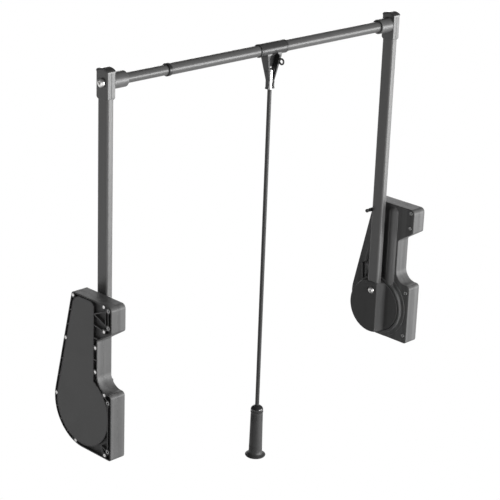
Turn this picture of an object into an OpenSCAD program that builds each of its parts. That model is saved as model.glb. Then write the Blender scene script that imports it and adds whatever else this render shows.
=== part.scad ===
// Pull-down closet rod: two spring casings, two arms, a telescopic rail and a pull rod.
// The left casing screws to the left wall at X = 0 and the right one to the right wall.
// +X runs along the rail, -Y faces the user and +Z is up.
// The pivot axis of both arms is the line Y = 0, Z = 0.
// Everything on one side is built from its wall inward, and the right side is its mirror image.

/* [Overall] */
// Distance between the two walls that the casings are screwed to
width = 1000; // [920:5:1120]
// Height of the rail axis above the pivot, with the arms upright
arm_length = 712.5; // [620:2.5:800]

/* [Casing] */
// Thickness of a casing, from the wall to its inner face
case_t = 39; // [38:0.5:46]
// Front edge of a casing, in front of the pivot
case_front = 93.5; // [90:0.5:105]
// Bottom edge of a casing, below the pivot
case_bottom = 81.5; // [80:0.5:90]
// Top edge of a casing, above the pivot
case_top = 268; // [262:1:300]
// Radius of the round belly at the bottom rear
belly_r = 91.5; // [88:0.5:96]
// Distance behind the pivot of the sharp top rear corner
top_rear = 34; // [26:1:44]
// Depth of the notch in the front edge
notch_depth = 44.5; // [30:0.5:46]
// Height of the lower tab above the pivot
lower_tab_z = 70.5; // [66:0.5:80]
// Height of the upper tab's lower corner above the pivot
upper_tab_z = 209; // [200:1:214]
// Slope of the notch's upper side
notch_slope = 33; // [15:1:38]
// Radius of the hollow curve at the notch's lower corner
notch_r = 32; // [20:1:40]
// Corner radius at the front top of a casing
front_top_r = 11; // [8:0.5:13]
// Corner radius at the top of the lower tab
tab_top_r = 9; // [7:0.5:11]
// Radius of the casing's other corners
case_corner_r = 7; // [5:0.5:8]
// Thickness of the casing's side walls and floor
wall = 3; // [2:0.25:3.5]
// Distance of the joint between the casing halves from the wall
split_x = 17; // [14:0.5:20]
// Depth of the lattice pockets in the outer half
pocket_depth = 8; // [5:0.5:9]
// Thickness of the lattice ribs
rib_t = 2.4; // [1.6:0.2:3]
// Thickness of the web behind the lattice
web_t = 2.5; // [2:0.25:3.5]

/* [Cover plate] */
// Thickness of the steel cover plate
cover_t = 1.5; // [1:0.25:2]
// Rim left between the cover plate and the casing's edge
cover_rim = 9.5; // [9:0.5:12]
// Front edge of the cover plate, in front of the pivot
cover_front = 35; // [33:0.5:37]

/* [Fasteners] */
// Shank radius of the casing screws
case_screw_r = 1.9; // [1.5:0.1:2.2]
// Head radius of the casing screws
case_head_r = 3.5; // [3:0.1:3.8]
// Head height of the casing screws
case_head_h = 2.2; // [1.6:0.1:2.6]
// Distance of the casing screws from the casing's edge
screw_edge = 5.2; // [4.8:0.1:5.6]
// Bore radius of the mounting sleeves
sleeve_bore_r = 2.8; // [2.2:0.1:3]
// Outer radius of the mounting sleeves
sleeve_r = 4; // [3.6:0.1:4.5]
// Distance of the mounting holes from the front edge
hole_edge = 11; // [9.5:0.25:13]
// Height of the upper pair's middle above the pivot
upper_pair_z = 239; // [236:1:242]
// Spacing of the upper pair of mounting holes
upper_spacing = 38; // [32:1:44]
// Height of the lower pair's middle above the pivot
lower_pair_z = -5.5; // [-10:0.5:0]
// Spacing of the lower pair of mounting holes
lower_spacing = 113; // [100:1:116]

/* [Hub] */
// Radius of the turning hub
hub_r = 66.5; // [60:0.5:68]
// Height of the raised pad round the hub
pad_h = 2; // [1:0.25:3]
// Radius of the pad
pad_r = 84; // [80:0.5:86]
// Height of the ring wall round the hub
ring_h = 8; // [5:0.5:9]
// Thickness of the ring wall
ring_t = 6; // [4:0.5:7]
// Thickness of the hub's low front part
hub_low_t = 7.5; // [5:0.5:8.5]
// Cover left over the foot of the arm
hub_lip = 2; // [1.5:0.25:3]
// Width of the slope between the hub's high and low parts
hub_slope = 11; // [8:0.5:14]
// Depth of the arm's foot below the pivot
foot_depth = 20; // [12:1:30]
// Height of the foot screw above the pivot
foot_screw_z = 43.5; // [36:0.5:52]
// Radius of the pivot axle
axle_r = 12; // [9:0.5:13]

/* [Spring gear] */
// Module of the pinion and rack teeth
gear_module = 2.25; // [2.2:0.05:2.4]
// Number of pinion teeth
pinion_teeth = 18; // [18:1:19]
// Thickness of the pinion
pinion_t = 10; // [8:0.5:11]
// Travel of the arms, in degrees
arm_travel = 110; // [90:5:115]
// Radius of the draw rod
draw_r = 4; // [3:0.25:4.5]
// Distance of the draw rod in front of the pivot
draw_y = 30; // [29.5:0.25:31]
// Wire radius of the spring
wire_r = 1.6; // [1.2:0.1:1.9]
// Outer radius of the spring
spring_r = 12; // [10:0.25:12.5]
// Number of turns of the spring
spring_turns = 11; // [8:1:13]
// Height of the spring seat's top above the pivot
seat_z = 100; // [96:1:108]
// Height of the draw nut's flange above the pivot
nut_z = 238; // [230:1:244]
// Wall of the spring bulge
bulge_wall = 2.4; // [2:0.1:2.6]
// Distance of the spring axis from the wall
spring_x = 31.5; // [31:0.25:32.5]

/* [Stop] */
// Radius of the stop pin
stop_r = 2.6; // [2:0.1:3]
// Radius of the rubber buffer on the stop pin
buffer_r = 4.5; // [4:0.25:6]
// Height of the stop pin above the pivot
stop_z = 248; // [236:1:252]
// Length of the stop pin beyond the arm
stop_reach = 14.5; // [10:0.5:18]

/* [Arm] */
// Distance of the arm's middle from the wall
arm_x = 61.3; // [60:0.5:66]
// Width of the arm tube, front to rear
arm_w = 32.5; // [29:0.5:34]
// Thickness of the arm tube along the rail
arm_t = 17.5; // [15:0.5:18.5]
// Edge radius of the arm tube
arm_edge_r = 5.25; // [3:0.25:6]
// Wall of the arm tube
arm_wall = 1.5; // [1:0.1:2]

/* [Corner connector] */
// Front and rear wall of the connector round the arm
conn_wall_y = 1.7; // [1.4:0.1:3]
// Side walls of the connector round the arm
conn_wall_x = 1.5; // [1.2:0.1:2.5]
// Chamfer at the connector's lower end
conn_chamfer = 3.7; // [2:0.1:5]
// Length of the connector below the rail axis
conn_below = 35; // [26:0.5:45]
// Height of the connector's arched top above the rail axis
conn_above = 30.5; // [26:0.5:36]
// Radius of the arched top
arch_r = 38; // [30:1:60]
// Thickness of the cap on the connector
cap_t = 2.6; // [2:0.1:3.5]
// Overhang of the cap
cap_lip = 0.4; // [0.2:0.1:1]
// Corner radius of the cap's shoulders
cap_corner_r = 5; // [4:0.25:6]
// Outer radius of the rail socket
socket_r = 17; // [15.5:0.25:18]
// Length of the rail socket
socket_length = 38; // [28:1:46]
// Radius of the connector screw's head
conn_head_r = 10; // [8:0.5:11]
// Height of the connector screw's head
conn_head_h = 7; // [4.5:0.25:8]
// Shank radius of the connector screw
conn_screw_r = 4; // [3:0.25:5]

/* [Rail] */
// Radius of the small rail tube
small_r = 11; // [10:0.1:11.5]
// Length of the small rail tube
small_length = 390; // [380:5:440]
// Wall of the small rail tube
small_wall = 1.3; // [1:0.1:1.6]
// Radius of the large rail tube
large_r = 12.5; // [12.3:0.1:13.5]
// Wall of the large rail tube
large_wall = 1.2; // [0.8:0.1:1.2]
// Distance from the right wall to the large tube's free end
large_reach = 773; // [760:1:780]
// Radius of the end ring on the large tube
ring_r = 14; // [13.8:0.1:15]
// Thickness of the end ring
ring_w = 4; // [3:0.5:6]

/* [Clip] */
// Distance of the clip's middle from the right wall
clip_reach = 464; // [440:1:500]
// Length of the clip's sleeve
sleeve_length = 84; // [66:1:92]
// Wall of the clip's sleeve
sleeve_wall = 2.4; // [1.8:0.1:3]
// Depth of the hinge pin below the rail axis
hinge_drop = 49; // [46:0.5:52]
// Half width of the yoke at the sleeve
yoke_half_w = 22.5; // [20:0.5:26]
// Depth of the yoke's taper below the rail axis
yoke_drop = 71.5; // [68:0.5:76]
// Length of the yoke's two legs below the taper
leg_length = 19; // [14:1:22]
// Half width of the yoke's front opening under the sleeve
mouth_half_w = 16; // [14:0.5:17]
// Depth of the eye below the rail axis
eye_drop = 29; // [28:0.5:31]
// Outer radius of the eye on the yoke
eye_r = 8; // [7:0.25:9]
// Bore radius of the eye
eye_bore_r = 4.25; // [3.5:0.25:4.75]
// Thickness of the eye
eye_t = 3; // [2:0.25:4]

/* [Pull rod] */
// Length from the hinge pin to the grip's lower end
pull_length = 945; // [700:2.5:1050]
// Radius of the rod
rod_r = 4.8; // [4:0.1:5]
// Wall of the metal head round the rod
head_wall = 0.8; // [0.6:0.1:1]
// Length of the metal head below the hinge pin
head_length = 42.5; // [38:0.5:48]
// Radius of the hinge pin
pin_r = 2.5; // [2:0.1:3]
// Length of the grip
grip_length = 133; // [110:1:150]
// Radius of the grip at its top
grip_top_r = 14.5; // [12:0.25:15]
// Radius of the grip above its flange
grip_low_r = 16; // [15:0.25:17]
// Radius of the grip's flange
flange_r = 24.5; // [21:0.25:27]

/* [Clearances] */
// Radial running clearance of shafts, sliding tubes and the hinge pin
run_gap = 0.05; // [0.02:0.01:0.09]
// Clearance round the arm tube, the cover plate and other loose fits
fit_gap = 0.1; // [0.05:0.05:0.2]
// Gap between pieces that turn or slide past each other
move_gap = 0.5; // [0.3:0.1:0.8]
// Gap between the buffer and the resting arm
rest_gap = 0.3; // [0.2:0.05:0.4]

/* [Hidden] */
$fn = 64;

// Reach of a cut past the face it starts from
over = 1;
// Corner radius where the notch's slope meets the waist
notch_corner_r = 6;
belly_z = belly_r - case_bottom;
cover_r = belly_r - cover_rim;
cover_top_r = 26;
cover_corner_r = 9;
cover_top = case_top - cover_rim + 2.5;
// Straight pieces in the cover plate's round belly
cover_steps = 60;
// Plastic left round the mounting sleeves and under the rim of the lattice pockets
boss_wall = 4.6;
pocket_wall = 2.6;
// Land left round the cover plate's recess
pocket_land = 1.8;
// Depth of the screw heads and sleeves below the casing's outer face
face_sink = 0.2;
// Two ribs behind the arm: foot, tip and thickness of each
fork_ribs = [[[53, 54], [57, 95], 5], [[43, 56], [46, 98], 4.4]];
// Small ribs across the channel round the cover: angles on the belly, heights on the
// rear edge and heights at the waist
belly_ribs = [-55, -35, -15];
rear_rib_z = [62, 105, 190, 225];
waist_rib_z = [136, 185];

// Rear edge of the casing: a straight line that touches the belly and leans back
corner_reach = norm([top_rear, case_top - belly_z]);
lean = atan2(case_top - belly_z, top_rear) - acos(belly_r / corner_reach);

// Casing floor, hub levels and gear levels, measured from the wall
floor_x = case_t - wall;
pad_x = case_t + pad_h;
ring_x = case_t + ring_h;
hub_x = pad_x + move_gap;
hub_low_x = hub_x + hub_low_t;
arm_inner_x = arm_x + arm_t / 2;
arm_outer_x = arm_x - arm_t / 2;
hub_top_x = arm_inner_x + hub_lip;
crease_y = -(arm_w / 2 + 1.4);
ring_inner_r = hub_r + 3 * move_gap;
ring_outer_r = ring_inner_r + ring_t;
journal_r = axle_r - 4;
journal_x = cover_t + 7;
axle_end_x = arm_outer_x - fit_gap - 0.7;
bush_wall = 4.5;
bush_proud = 0.2;
guide_half = 16;
foot_screw_r = 2.5;
foot_head_r = 8.5;
foot_head_h = 6;
screw_well_r = 10.8;
bush_x = floor_x - 1;
pitch_r = gear_module * pinion_teeth / 2;
pinion_x = bush_x - move_gap - pinion_t;
tooth_pitch = PI * gear_module;
tooth_slack = 0.15;
draw_travel = pitch_r * arm_travel * PI / 180;
rack_back = draw_y + draw_r + 2;
rack_t = 11.5;
rack_x = floor_x - move_gap - rack_t;
rack_top = 57;
// The arm rests with its rear face against the buffer
stop_y = arm_w / 2 + rest_gap + buffer_r;
stop_tip_x = arm_inner_x + stop_reach;
buffer_x0 = arm_outer_x - 3;
buffer_x1 = arm_inner_x + 2;
pin_foot_x = floor_x - 8;
pin_head_h = 7;
screw_tip_x = split_x + 6;
sleeve_relief = 2.3;
sleeve_end_x = case_t - 2 * face_sink;
bulge_r = spring_r + move_gap + 1 + bulge_wall;
bulge_top = case_top - 4;
seat_t = 6;
nut_flange_h = 2.5;
nut_h = 8;
nut_r = 7.5;

// Rail levels
rail_z = arm_length;
conn_x0 = arm_outer_x - conn_wall_x;
conn_x1 = arm_inner_x + conn_wall_x;
conn_half_y = arm_w / 2 + conn_wall_y;
conn_bottom = rail_z - conn_below;
conn_top = rail_z + conn_above;
// Underside of the cap's skirt, and the arm's end below it
cap_half_y = conn_half_y + cap_lip;
cap_rise = sqrt(pow(arch_r - cap_corner_r, 2) - pow(cap_half_y - cap_corner_r, 2));
cap_foot_z = conn_top - arch_r + cap_rise - 1.2;
arm_top = cap_foot_z - 1.5;
// Depth of the connector screw in the rail, and length of the plug that it holds
conn_screw_in = 18;
plug_length = 25;
socket_x1 = conn_x1 + socket_length;
rail_end_x = conn_x1 + 3;
large_end_x = width - large_reach;
ring_back = 5;
guide_in = 14;
guide_out = 8;
guide_bore_r = small_r - small_wall - 2.5;
clip_x = width - clip_reach;
hinge_z = rail_z - hinge_drop;
head_r = rod_r + head_wall;
pin_half = head_r + 10;
yoke_front = 12.5;
yoke_rear = 10;
leg_front = 6;
leg_rear = 5;
eye_x = 16;
eye_y = -yoke_front - eye_r / 2;
eye_z = rail_z - eye_drop;
rod_insert = 20;
rod_in_grip = 40;
cap_h = 18;
grip_z0 = hinge_z - pull_length;
grip_z1 = grip_z0 + grip_length;

// Places of the mounting holes and casing screws, as [Y, Z]
hole_y = -(case_front - hole_edge);
mounting_holes = [
    [hole_y, upper_pair_z + upper_spacing / 2],
    [hole_y, upper_pair_z - upper_spacing / 2],
    [hole_y, lower_pair_z + lower_spacing / 2],
    [hole_y, lower_pair_z - lower_spacing / 2]
];
notch_y = notch_depth - case_front;
case_screws = [
    [rear_y(case_top - screw_edge - 3, screw_edge), case_top - screw_edge - 3],
    [hole_y + 14.5, case_top - screw_edge],
    [hole_y + 13.5, upper_tab_z - 1],
    [notch_y + screw_edge + 2, upper_tab_z - 46],
    [notch_y + screw_edge + 2, lower_tab_z + 38],
    [hole_y + 11.5, lower_tab_z - screw_edge],
    [hole_y + 9.5, -case_bottom + screw_edge + 3],
    belly_point(-75, screw_edge),
    belly_point(5, screw_edge),
    [rear_y(upper_tab_z - 53, screw_edge), upper_tab_z - 53]
];

// Point on the belly circle at an angle, moved inward
function belly_point(angle, inset) =
    [(belly_r - inset) * cos(angle), belly_z + (belly_r - inset) * sin(angle)];

// Y of the rear edge at a height, moved inward
function rear_y(z, inset) =
    belly_r * cos(lean) + (belly_z + belly_r * sin(lean) - z) * tan(lean) - inset / cos(lean);

// Z of the notch's sloping upper side at a depth, moved inward
function notch_top_z(y, inset) =
    upper_tab_z - (y + case_front) * tan(notch_slope) + inset / cos(notch_slope);

function unit(v) = v / norm(v);

// Signed smallest angle from one direction to another
function turn_between(from, to) = (to - from + 540) % 360 - 180;

// Points of one rounded corner, given its neighbours and its radius
function corner_arc(before, corner, after, r) =
    r <= 0 ? [corner] :
    let (
        to_before = unit(before - corner),
        to_after = unit(after - corner),
        half = acos(to_before * to_after) / 2,
        centre = corner + unit(to_before + to_after) * r / sin(half),
        start = corner + to_before * r / tan(half) - centre,
        stop = corner + to_after * r / tan(half) - centre,
        from = atan2(start.y, start.x),
        turn = turn_between(from, atan2(stop.y, stop.x)),
        steps = max(2, ceil(abs(turn) / (r > 20 ? 4 : 10)))
    )
    [for (i = [0:steps]) centre + r * [cos(from + turn * i / steps), sin(from + turn * i / steps)]];

// Closed path with rounded corners, from [y, z, radius] corners
function round_path(corners) =
    let (n = len(corners))
    [for (i = [0:n - 1])
        let (a = corners[(i + n - 1) % n], b = corners[i], c = corners[(i + 1) % n])
        each corner_arc([a.x, a.y], [b.x, b.y], [c.x, c.y], b.z)];

// Flat shape in Y and Z, given a thickness from x0 to x1
module along_x(x0, x1) {
    translate([x0, 0, 0])
        rotate([90, 0, 90])
            linear_extrude(x1 - x0)
                children();
}

// Round bar along X
module bar_x(x0, x1, r, y = 0, z = 0) {
    translate([x0, y, z])
        rotate([0, 90, 0])
            cylinder(h = x1 - x0, r = r);
}

// Solid of revolution about X, from [x, radius] corners
module turned_x(profile, y = 0, z = 0) {
    translate([0, y, z])
        rotate([0, 90, 0])
            rotate_extrude($fn = 96)
                polygon([for (p = profile) [p.y, p.x]]);
}

// Mirror image for the right-hand side
module right_side() {
    translate([width, 0, 0])
        mirror([1, 0, 0])
            children();
}

module case_outline(inset = 0) {
    bottom = -case_bottom + inset;
    front = -case_front + inset;
    top = case_top - inset;
    notch = notch_y + inset;
    polygon(round_path([
        [front, bottom, case_corner_r - inset],
        [rear_y(bottom, inset), bottom, belly_r - inset],
        [rear_y(top, inset), top, case_corner_r + 1 - inset],
        [front, top, front_top_r - inset],
        [front, notch_top_z(front, inset), case_corner_r - inset],
        [notch, notch_top_z(notch, inset), notch_corner_r + inset],
        [notch, lower_tab_z - inset, notch_r + inset],
        [front, lower_tab_z - inset, tab_top_r - inset]
    ]));
}

module cover_outline(inset = 0) {
    r = cover_r - inset;
    front = -cover_front + inset;
    top = cover_top - inset;
    start = acos(front / r);
    turn = (360 + lean - start) / cover_steps;
    belly = [for (i = [0:cover_steps])
        [r * cos(start + i * turn), belly_z + r * sin(start + i * turn)]];
    rear_top = [rear_y(top, cover_rim + inset), top];
    front_top = [front, top];
    polygon(concat(
        belly,
        corner_arc(belly[cover_steps], rear_top, front_top, cover_top_r - inset),
        corner_arc(rear_top, front_top, belly[0], cover_corner_r - inset)
    ));
}

// Straight rib between two points of the casing's plane
module flat_rib(from, to, thickness) {
    run = to - from;
    translate(from)
        rotate(atan2(run.y, run.x))
            translate([0, -thickness / 2])
                square([norm(run), thickness]);
}

// Ribs and rings that are left standing in the pockets of the outer half
module lattice() {
    apex = [-cover_front - 3, upper_pair_z - 1];
    lower_hub = [-cover_front - 27, -case_bottom + 27];
    for (hole = mounting_holes)
        translate(hole)
            circle(r = sleeve_r + rib_t);
    for (screw = case_screws)
        translate(screw)
            circle(r = case_head_r + rib_t);
    flat_rib(mounting_holes[0], mounting_holes[1], rib_t);
    flat_rib(mounting_holes[0], apex, rib_t);
    flat_rib(mounting_holes[1], apex, rib_t);
    flat_rib(apex - [0, 24], case_screws[2], rib_t);
    flat_rib(case_screws[1], mounting_holes[0], rib_t);
    flat_rib(case_screws[2], mounting_holes[1], rib_t);
    flat_rib([hole_y + 8.5, upper_pair_z - 14], [hole_y + 8.5, upper_pair_z + 14], rib_t);
    flat_rib(mounting_holes[2], [hole_y + 6.5, lower_tab_z - 39], rib_t);
    flat_rib(mounting_holes[2], case_screws[5], rib_t);
    flat_rib(mounting_holes[3], case_screws[6], rib_t);
    flat_rib(mounting_holes[3], lower_hub, rib_t);
    flat_rib(lower_hub, case_screws[6], rib_t);
    flat_rib(mounting_holes[2], mounting_holes[3], rib_t);
    for (angle = belly_ribs)
        flat_rib(belly_point(angle, 0), belly_point(angle, cover_rim), rib_t);
    for (z = rear_rib_z)
        flat_rib([rear_y(z, cover_rim), z], [rear_y(z, 0), z], rib_t);
    for (z = waist_rib_z)
        flat_rib([notch_y, z], [-cover_front, z], rib_t);
}

// Open pockets of the two tabs and the channel that joins them round the cover
module tab_pockets() {
    difference() {
        case_outline(pocket_wall);
        cover_outline(-pocket_land);
        lattice();
    }
}

module outer_shell() {
    web_x = pocket_depth + web_t;
    color([0.13, 0.13, 0.14])
    difference() {
        along_x(0, split_x)
            case_outline();
        along_x(web_x, split_x + over)
            difference() {
                case_outline(wall);
                for (place = concat(mounting_holes, case_screws))
                    translate(place)
                        circle(r = sleeve_r + boss_wall);
            }
        along_x(-over, split_x + over)
            cover_outline(wall);
        along_x(-over, cover_t)
            cover_outline(-fit_gap);
        along_x(-over, pocket_depth)
            tab_pockets();
        for (place = mounting_holes)
            bar_x(-over, split_x + over, sleeve_r, place.x, place.y);
        for (place = case_screws) {
            bar_x(-over, split_x + over, case_screw_r + fit_gap, place.x, place.y);
            bar_x(-over, face_sink + case_head_h, case_head_r + fit_gap, place.x, place.y);
        }
    }
}

// Rounded bulge over the spring, from its lower height to its domed top
module spring_bulge(r, z0, z1) {
    translate([spring_x, -draw_y, z0])
        cylinder(h = z1 - z0 - r, r = r);
    translate([spring_x, -draw_y, z1 - r])
        sphere(r = r);
}

// Two ribs that rise from the pad behind the arm
module rear_ribs() {
    along_x(case_t - over, ring_x - 1)
        for (rib = fork_ribs)
            flat_rib(rib[0], rib[1], rib[2]);
}

module inner_shell() {
    bulge_foot_z = ring_outer_r - ring_t * 2;
    color([0.15, 0.15, 0.16])
    difference() {
        union() {
            difference() {
                along_x(split_x, case_t)
                    case_outline();
                along_x(split_x - over, floor_x)
                    case_outline(wall);
            }
            for (place = mounting_holes)
                bar_x(split_x, floor_x + over, sleeve_r + boss_wall, place.x, place.y);
            for (place = case_screws)
                bar_x(split_x, floor_x + over, case_screw_r + wall, place.x, place.y);
            bar_x(pin_foot_x, case_t, stop_r + wall, stop_y, stop_z);
            along_x(case_t - over, pad_x)
                intersection() {
                    circle(r = pad_r, $fn = 128);
                    case_outline(1);
                }
            difference() {
                bar_x(case_t - over, ring_x, ring_outer_r);
                bar_x(pad_x, ring_x + over, ring_inner_r);
            }
            difference() {
                intersection() {
                    spring_bulge(bulge_r, bulge_foot_z, bulge_top);
                    translate([case_t - over, -case_front, bulge_foot_z])
                        cube([case_t, 2 * case_front, case_top]);
                }
                bar_x(pad_x, hub_top_x, ring_inner_r);
            }
            rear_ribs();
        }
        spring_bulge(bulge_r - bulge_wall, seat_z - seat_t, bulge_top - bulge_wall);
        bar_x(bush_x - over, pad_x + over, axle_r + bush_wall);
        for (place = mounting_holes) {
            bar_x(split_x - over, case_t + over, sleeve_r, place.x, place.y);
            bar_x(floor_x, case_t + over, sleeve_r + sleeve_relief, place.x, place.y);
        }
        for (place = case_screws)
            bar_x(split_x - over, screw_tip_x + 2, case_screw_r, place.x, place.y);
        bar_x(pin_foot_x - over, case_t + over, stop_r, stop_y, stop_z);
    }
}

module cover_plate() {
    color([0.27, 0.27, 0.29])
    along_x(0, cover_t)
        cover_outline();
}

module case_screw_set() {
    color([0.75, 0.76, 0.78])
    for (place = case_screws)
        turned_x([
            [face_sink, 0],
            [face_sink, case_head_r - 0.8],
            [face_sink + 0.6, case_head_r],
            [face_sink + case_head_h, case_head_r],
            [face_sink + case_head_h, case_screw_r],
            [screw_tip_x - case_screw_r, case_screw_r],
            [screw_tip_x, 0]
        ], place.x, place.y);
}

module mounting_sleeve_set() {
    color([0.7, 0.71, 0.73])
    for (place = mounting_holes)
        difference() {
            bar_x(face_sink, sleeve_end_x, sleeve_r, place.x, place.y);
            bar_x(-over, case_t + over, sleeve_bore_r, place.x, place.y);
        }
}

module stop_pin() {
    color([0.35, 0.35, 0.37])
    turned_x([
        [pin_foot_x, 0],
        [pin_foot_x, stop_r],
        [stop_tip_x - pin_head_h, stop_r],
        [stop_tip_x - pin_head_h, buffer_r - 0.5],
        [stop_tip_x - pin_head_h + 1, buffer_r],
        [stop_tip_x - 2, buffer_r],
        [stop_tip_x, buffer_r - 2],
        [stop_tip_x, 0]
    ], stop_y, stop_z);
}

module stop_buffer() {
    color([0.06, 0.06, 0.06])
    difference() {
        bar_x(buffer_x0, buffer_x1, buffer_r, stop_y, stop_z);
        bar_x(buffer_x0 - over, buffer_x1 + over, stop_r, stop_y, stop_z);
    }
}

module pivot_bush() {
    color([0.85, 0.84, 0.8])
    difference() {
        bar_x(bush_x, pad_x + bush_proud, axle_r + bush_wall);
        bar_x(bush_x - over, pad_x + over, axle_r + run_gap);
    }
}

module end_bearing() {
    color([0.85, 0.84, 0.8])
    difference() {
        bar_x(cover_t, journal_x, journal_r + bush_wall);
        bar_x(0, journal_x + over, journal_r + run_gap);
    }
}

module axle() {
    color([0.62, 0.63, 0.66])
    turned_x([
        [cover_t + move_gap, 0],
        [cover_t + move_gap, journal_r],
        [journal_x + move_gap, journal_r],
        [journal_x + move_gap, axle_r],
        [axle_end_x, axle_r],
        [axle_end_x, 0]
    ]);
}

// Involute pinion outline with one tooth pointing along -Y
function involute(base_r, roll) =
    base_r * [cos(roll) + roll * PI / 180 * sin(roll), sin(roll) - roll * PI / 180 * cos(roll)];
function turned(p, angle) =
    [p.x * cos(angle) - p.y * sin(angle), p.x * sin(angle) + p.y * cos(angle)];
pressure = 20;
base_r = pitch_r * cos(pressure);
tip_r = pitch_r + 0.95 * gear_module;
root_r = pitch_r - 1.25 * gear_module;
tip_roll = sqrt(pow(tip_r / base_r, 2) - 1) * 180 / PI;
flank_turn = 90 / pinion_teeth - tooth_slack / 2 / pitch_r * 180 / PI
    + tan(pressure) * 180 / PI - pressure;
flank = [for (i = [0:5]) turned(involute(base_r, tip_roll * i / 5), -flank_turn)];
flank_root = turned([root_r, 0], -flank_turn);
function mirrored(p) = [p.x, -p.y];
tooth = concat([flank_root], flank,
    [for (i = [5:-1:0]) mirrored(flank[i])], [mirrored(flank_root)]);

module pinion() {
    color([0.66, 0.6, 0.45])
    difference() {
        along_x(pinion_x, pinion_x + pinion_t)
            polygon([for (k = [0:pinion_teeth - 1], p = tooth) turned(p, 180 + k * 360 / pinion_teeth)]);
        bar_x(pinion_x - over, pinion_x + pinion_t + over, axle_r);
    }
}

// Rack outline: teeth towards the pinion, with a gap level with the pivot at rest
rack_first = -2;
rack_last = ceil(draw_travel / tooth_pitch + 1.5);
half_tooth = tooth_pitch / 4 - tooth_slack / 2;
function rack_tooth(k) =
    let (
        z = (k + 0.5) * tooth_pitch,
        rise = 0.95 * gear_module,
        fall = 1.25 * gear_module,
        root = half_tooth + fall * tan(pressure),
        tip = half_tooth - rise * tan(pressure)
    )
    [[-pitch_r - fall, z - root], [-pitch_r + rise, z - tip],
     [-pitch_r + rise, z + tip], [-pitch_r - fall, z + root]];

module rack() {
    z0 = (rack_first - 0.2) * tooth_pitch;
    z1 = max(rack_top, (rack_last + 1.2) * tooth_pitch);
    root_y = -pitch_r - 1.25 * gear_module;
    color([0.6, 0.6, 0.62]) {
        along_x(rack_x, rack_x + rack_t)
            polygon(concat(
                [[-rack_back, z0], [root_y, z0]],
                [for (k = [rack_first:rack_last], p = rack_tooth(k)) p],
                [[root_y, z1], [-rack_back, z1]]
            ));
        translate([spring_x, -draw_y, z1 - over])
            cylinder(h = nut_z + nut_h + over - z1 + over, r = draw_r);
    }
}

module rack_guide() {
    color([0.85, 0.84, 0.8])
    translate([rack_x, notch_y + wall, -guide_half])
        cube([floor_x - rack_x, -rack_back - fit_gap - notch_y - wall, 2 * guide_half]);
}

module spring_seat() {
    color([0.5, 0.5, 0.52])
    difference() {
        translate([spring_x, -draw_y, seat_z - seat_t])
            cylinder(h = seat_t, r = bulge_r - bulge_wall);
        translate([spring_x, -draw_y, seat_z - seat_t - over])
            cylinder(h = seat_t + 2 * over, r = draw_r + run_gap);
    }
}

// Coil spring as one swept tube between the seat and the draw nut
spring_steps = 10 * spring_turns;
coil_r = spring_r - wire_r;
coil_z0 = seat_z + wire_r + 0.1;
coil_rise = (nut_z - wire_r - 0.1 - coil_z0) / spring_steps;
coil_lead = atan2(coil_rise * spring_steps, 2 * PI * coil_r * spring_turns);
function coil_ring(i) =
    let (a = i * 36, outward = [cos(a), sin(a), 0],
         upward = [sin(a) * sin(coil_lead), -cos(a) * sin(coil_lead), cos(coil_lead)])
    [for (b = [0:60:300])
        [coil_r * cos(a), coil_r * sin(a), coil_z0 + i * coil_rise]
        + wire_r * (cos(b) * outward + sin(b) * upward)];

module spring() {
    sides = 6;
    last = spring_steps * sides;
    color([0.55, 0.56, 0.58])
    translate([spring_x, -draw_y, 0])
        polyhedron(
            points = [for (i = [0:spring_steps], p = coil_ring(i)) p],
            faces = concat(
                [[for (j = [0:sides - 1]) j]],
                [for (i = [0:spring_steps - 1], j = [0:sides - 1])
                    let (k = (j + 1) % sides)
                    [i * sides + j, (i + 1) * sides + j, i * sides + k]],
                [for (i = [0:spring_steps - 1], j = [0:sides - 1])
                    let (k = (j + 1) % sides)
                    [i * sides + k, (i + 1) * sides + j, (i + 1) * sides + k]],
                [[for (j = [sides - 1:-1:0]) last + j]]
            )
        );
}

module draw_nut() {
    color([0.72, 0.73, 0.75])
    difference() {
        translate([spring_x, -draw_y, nut_z]) {
            cylinder(h = nut_flange_h, r = spring_r - 0.5);
            cylinder(h = nut_h, r = nut_r, $fn = 6);
        }
        translate([spring_x, -draw_y, nut_z - over])
            cylinder(h = nut_h + 2 * over, r = draw_r);
    }
}

// Hub: a round casting that is high where it holds the arm and low in front
module hub() {
    edge = 2;
    slope_foot = crease_y - hub_slope;
    slope_steps = 8;
    color([0.17, 0.17, 0.18])
    difference() {
        intersection() {
            translate([0, 0, -hub_r - over])
                linear_extrude(2 * (hub_r + over))
                    polygon(concat(
                        [[hub_x, hub_r + over], [hub_x, -hub_r - over], [hub_low_x, -hub_r - over]],
                        [for (i = [0:slope_steps])
                            let (a = 90 * i / slope_steps)
                            [hub_low_x + (hub_top_x - hub_low_x) * (1 - cos(a)),
                             slope_foot + hub_slope * sin(a)]],
                        [[hub_top_x, hub_r + over]]
                    ));
            turned_x([
                [hub_x, 0],
                [hub_x, hub_r],
                [hub_top_x - edge, hub_r],
                [hub_top_x - 0.6, hub_r - 0.6],
                [hub_top_x, hub_r - edge],
                [hub_top_x, 0]
            ]);
        }
        translate([arm_x, 0, -foot_depth - fit_gap])
            linear_extrude(hub_r + foot_depth + 2 * over)
                arm_section(-fit_gap);
        bar_x(hub_x - over, axle_end_x, axle_r);
        bar_x(hub_x + 3, arm_outer_x, foot_screw_r, 0, foot_screw_z);
        bar_x(arm_inner_x, hub_top_x + over, screw_well_r, 0, foot_screw_z);
    }
}

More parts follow.
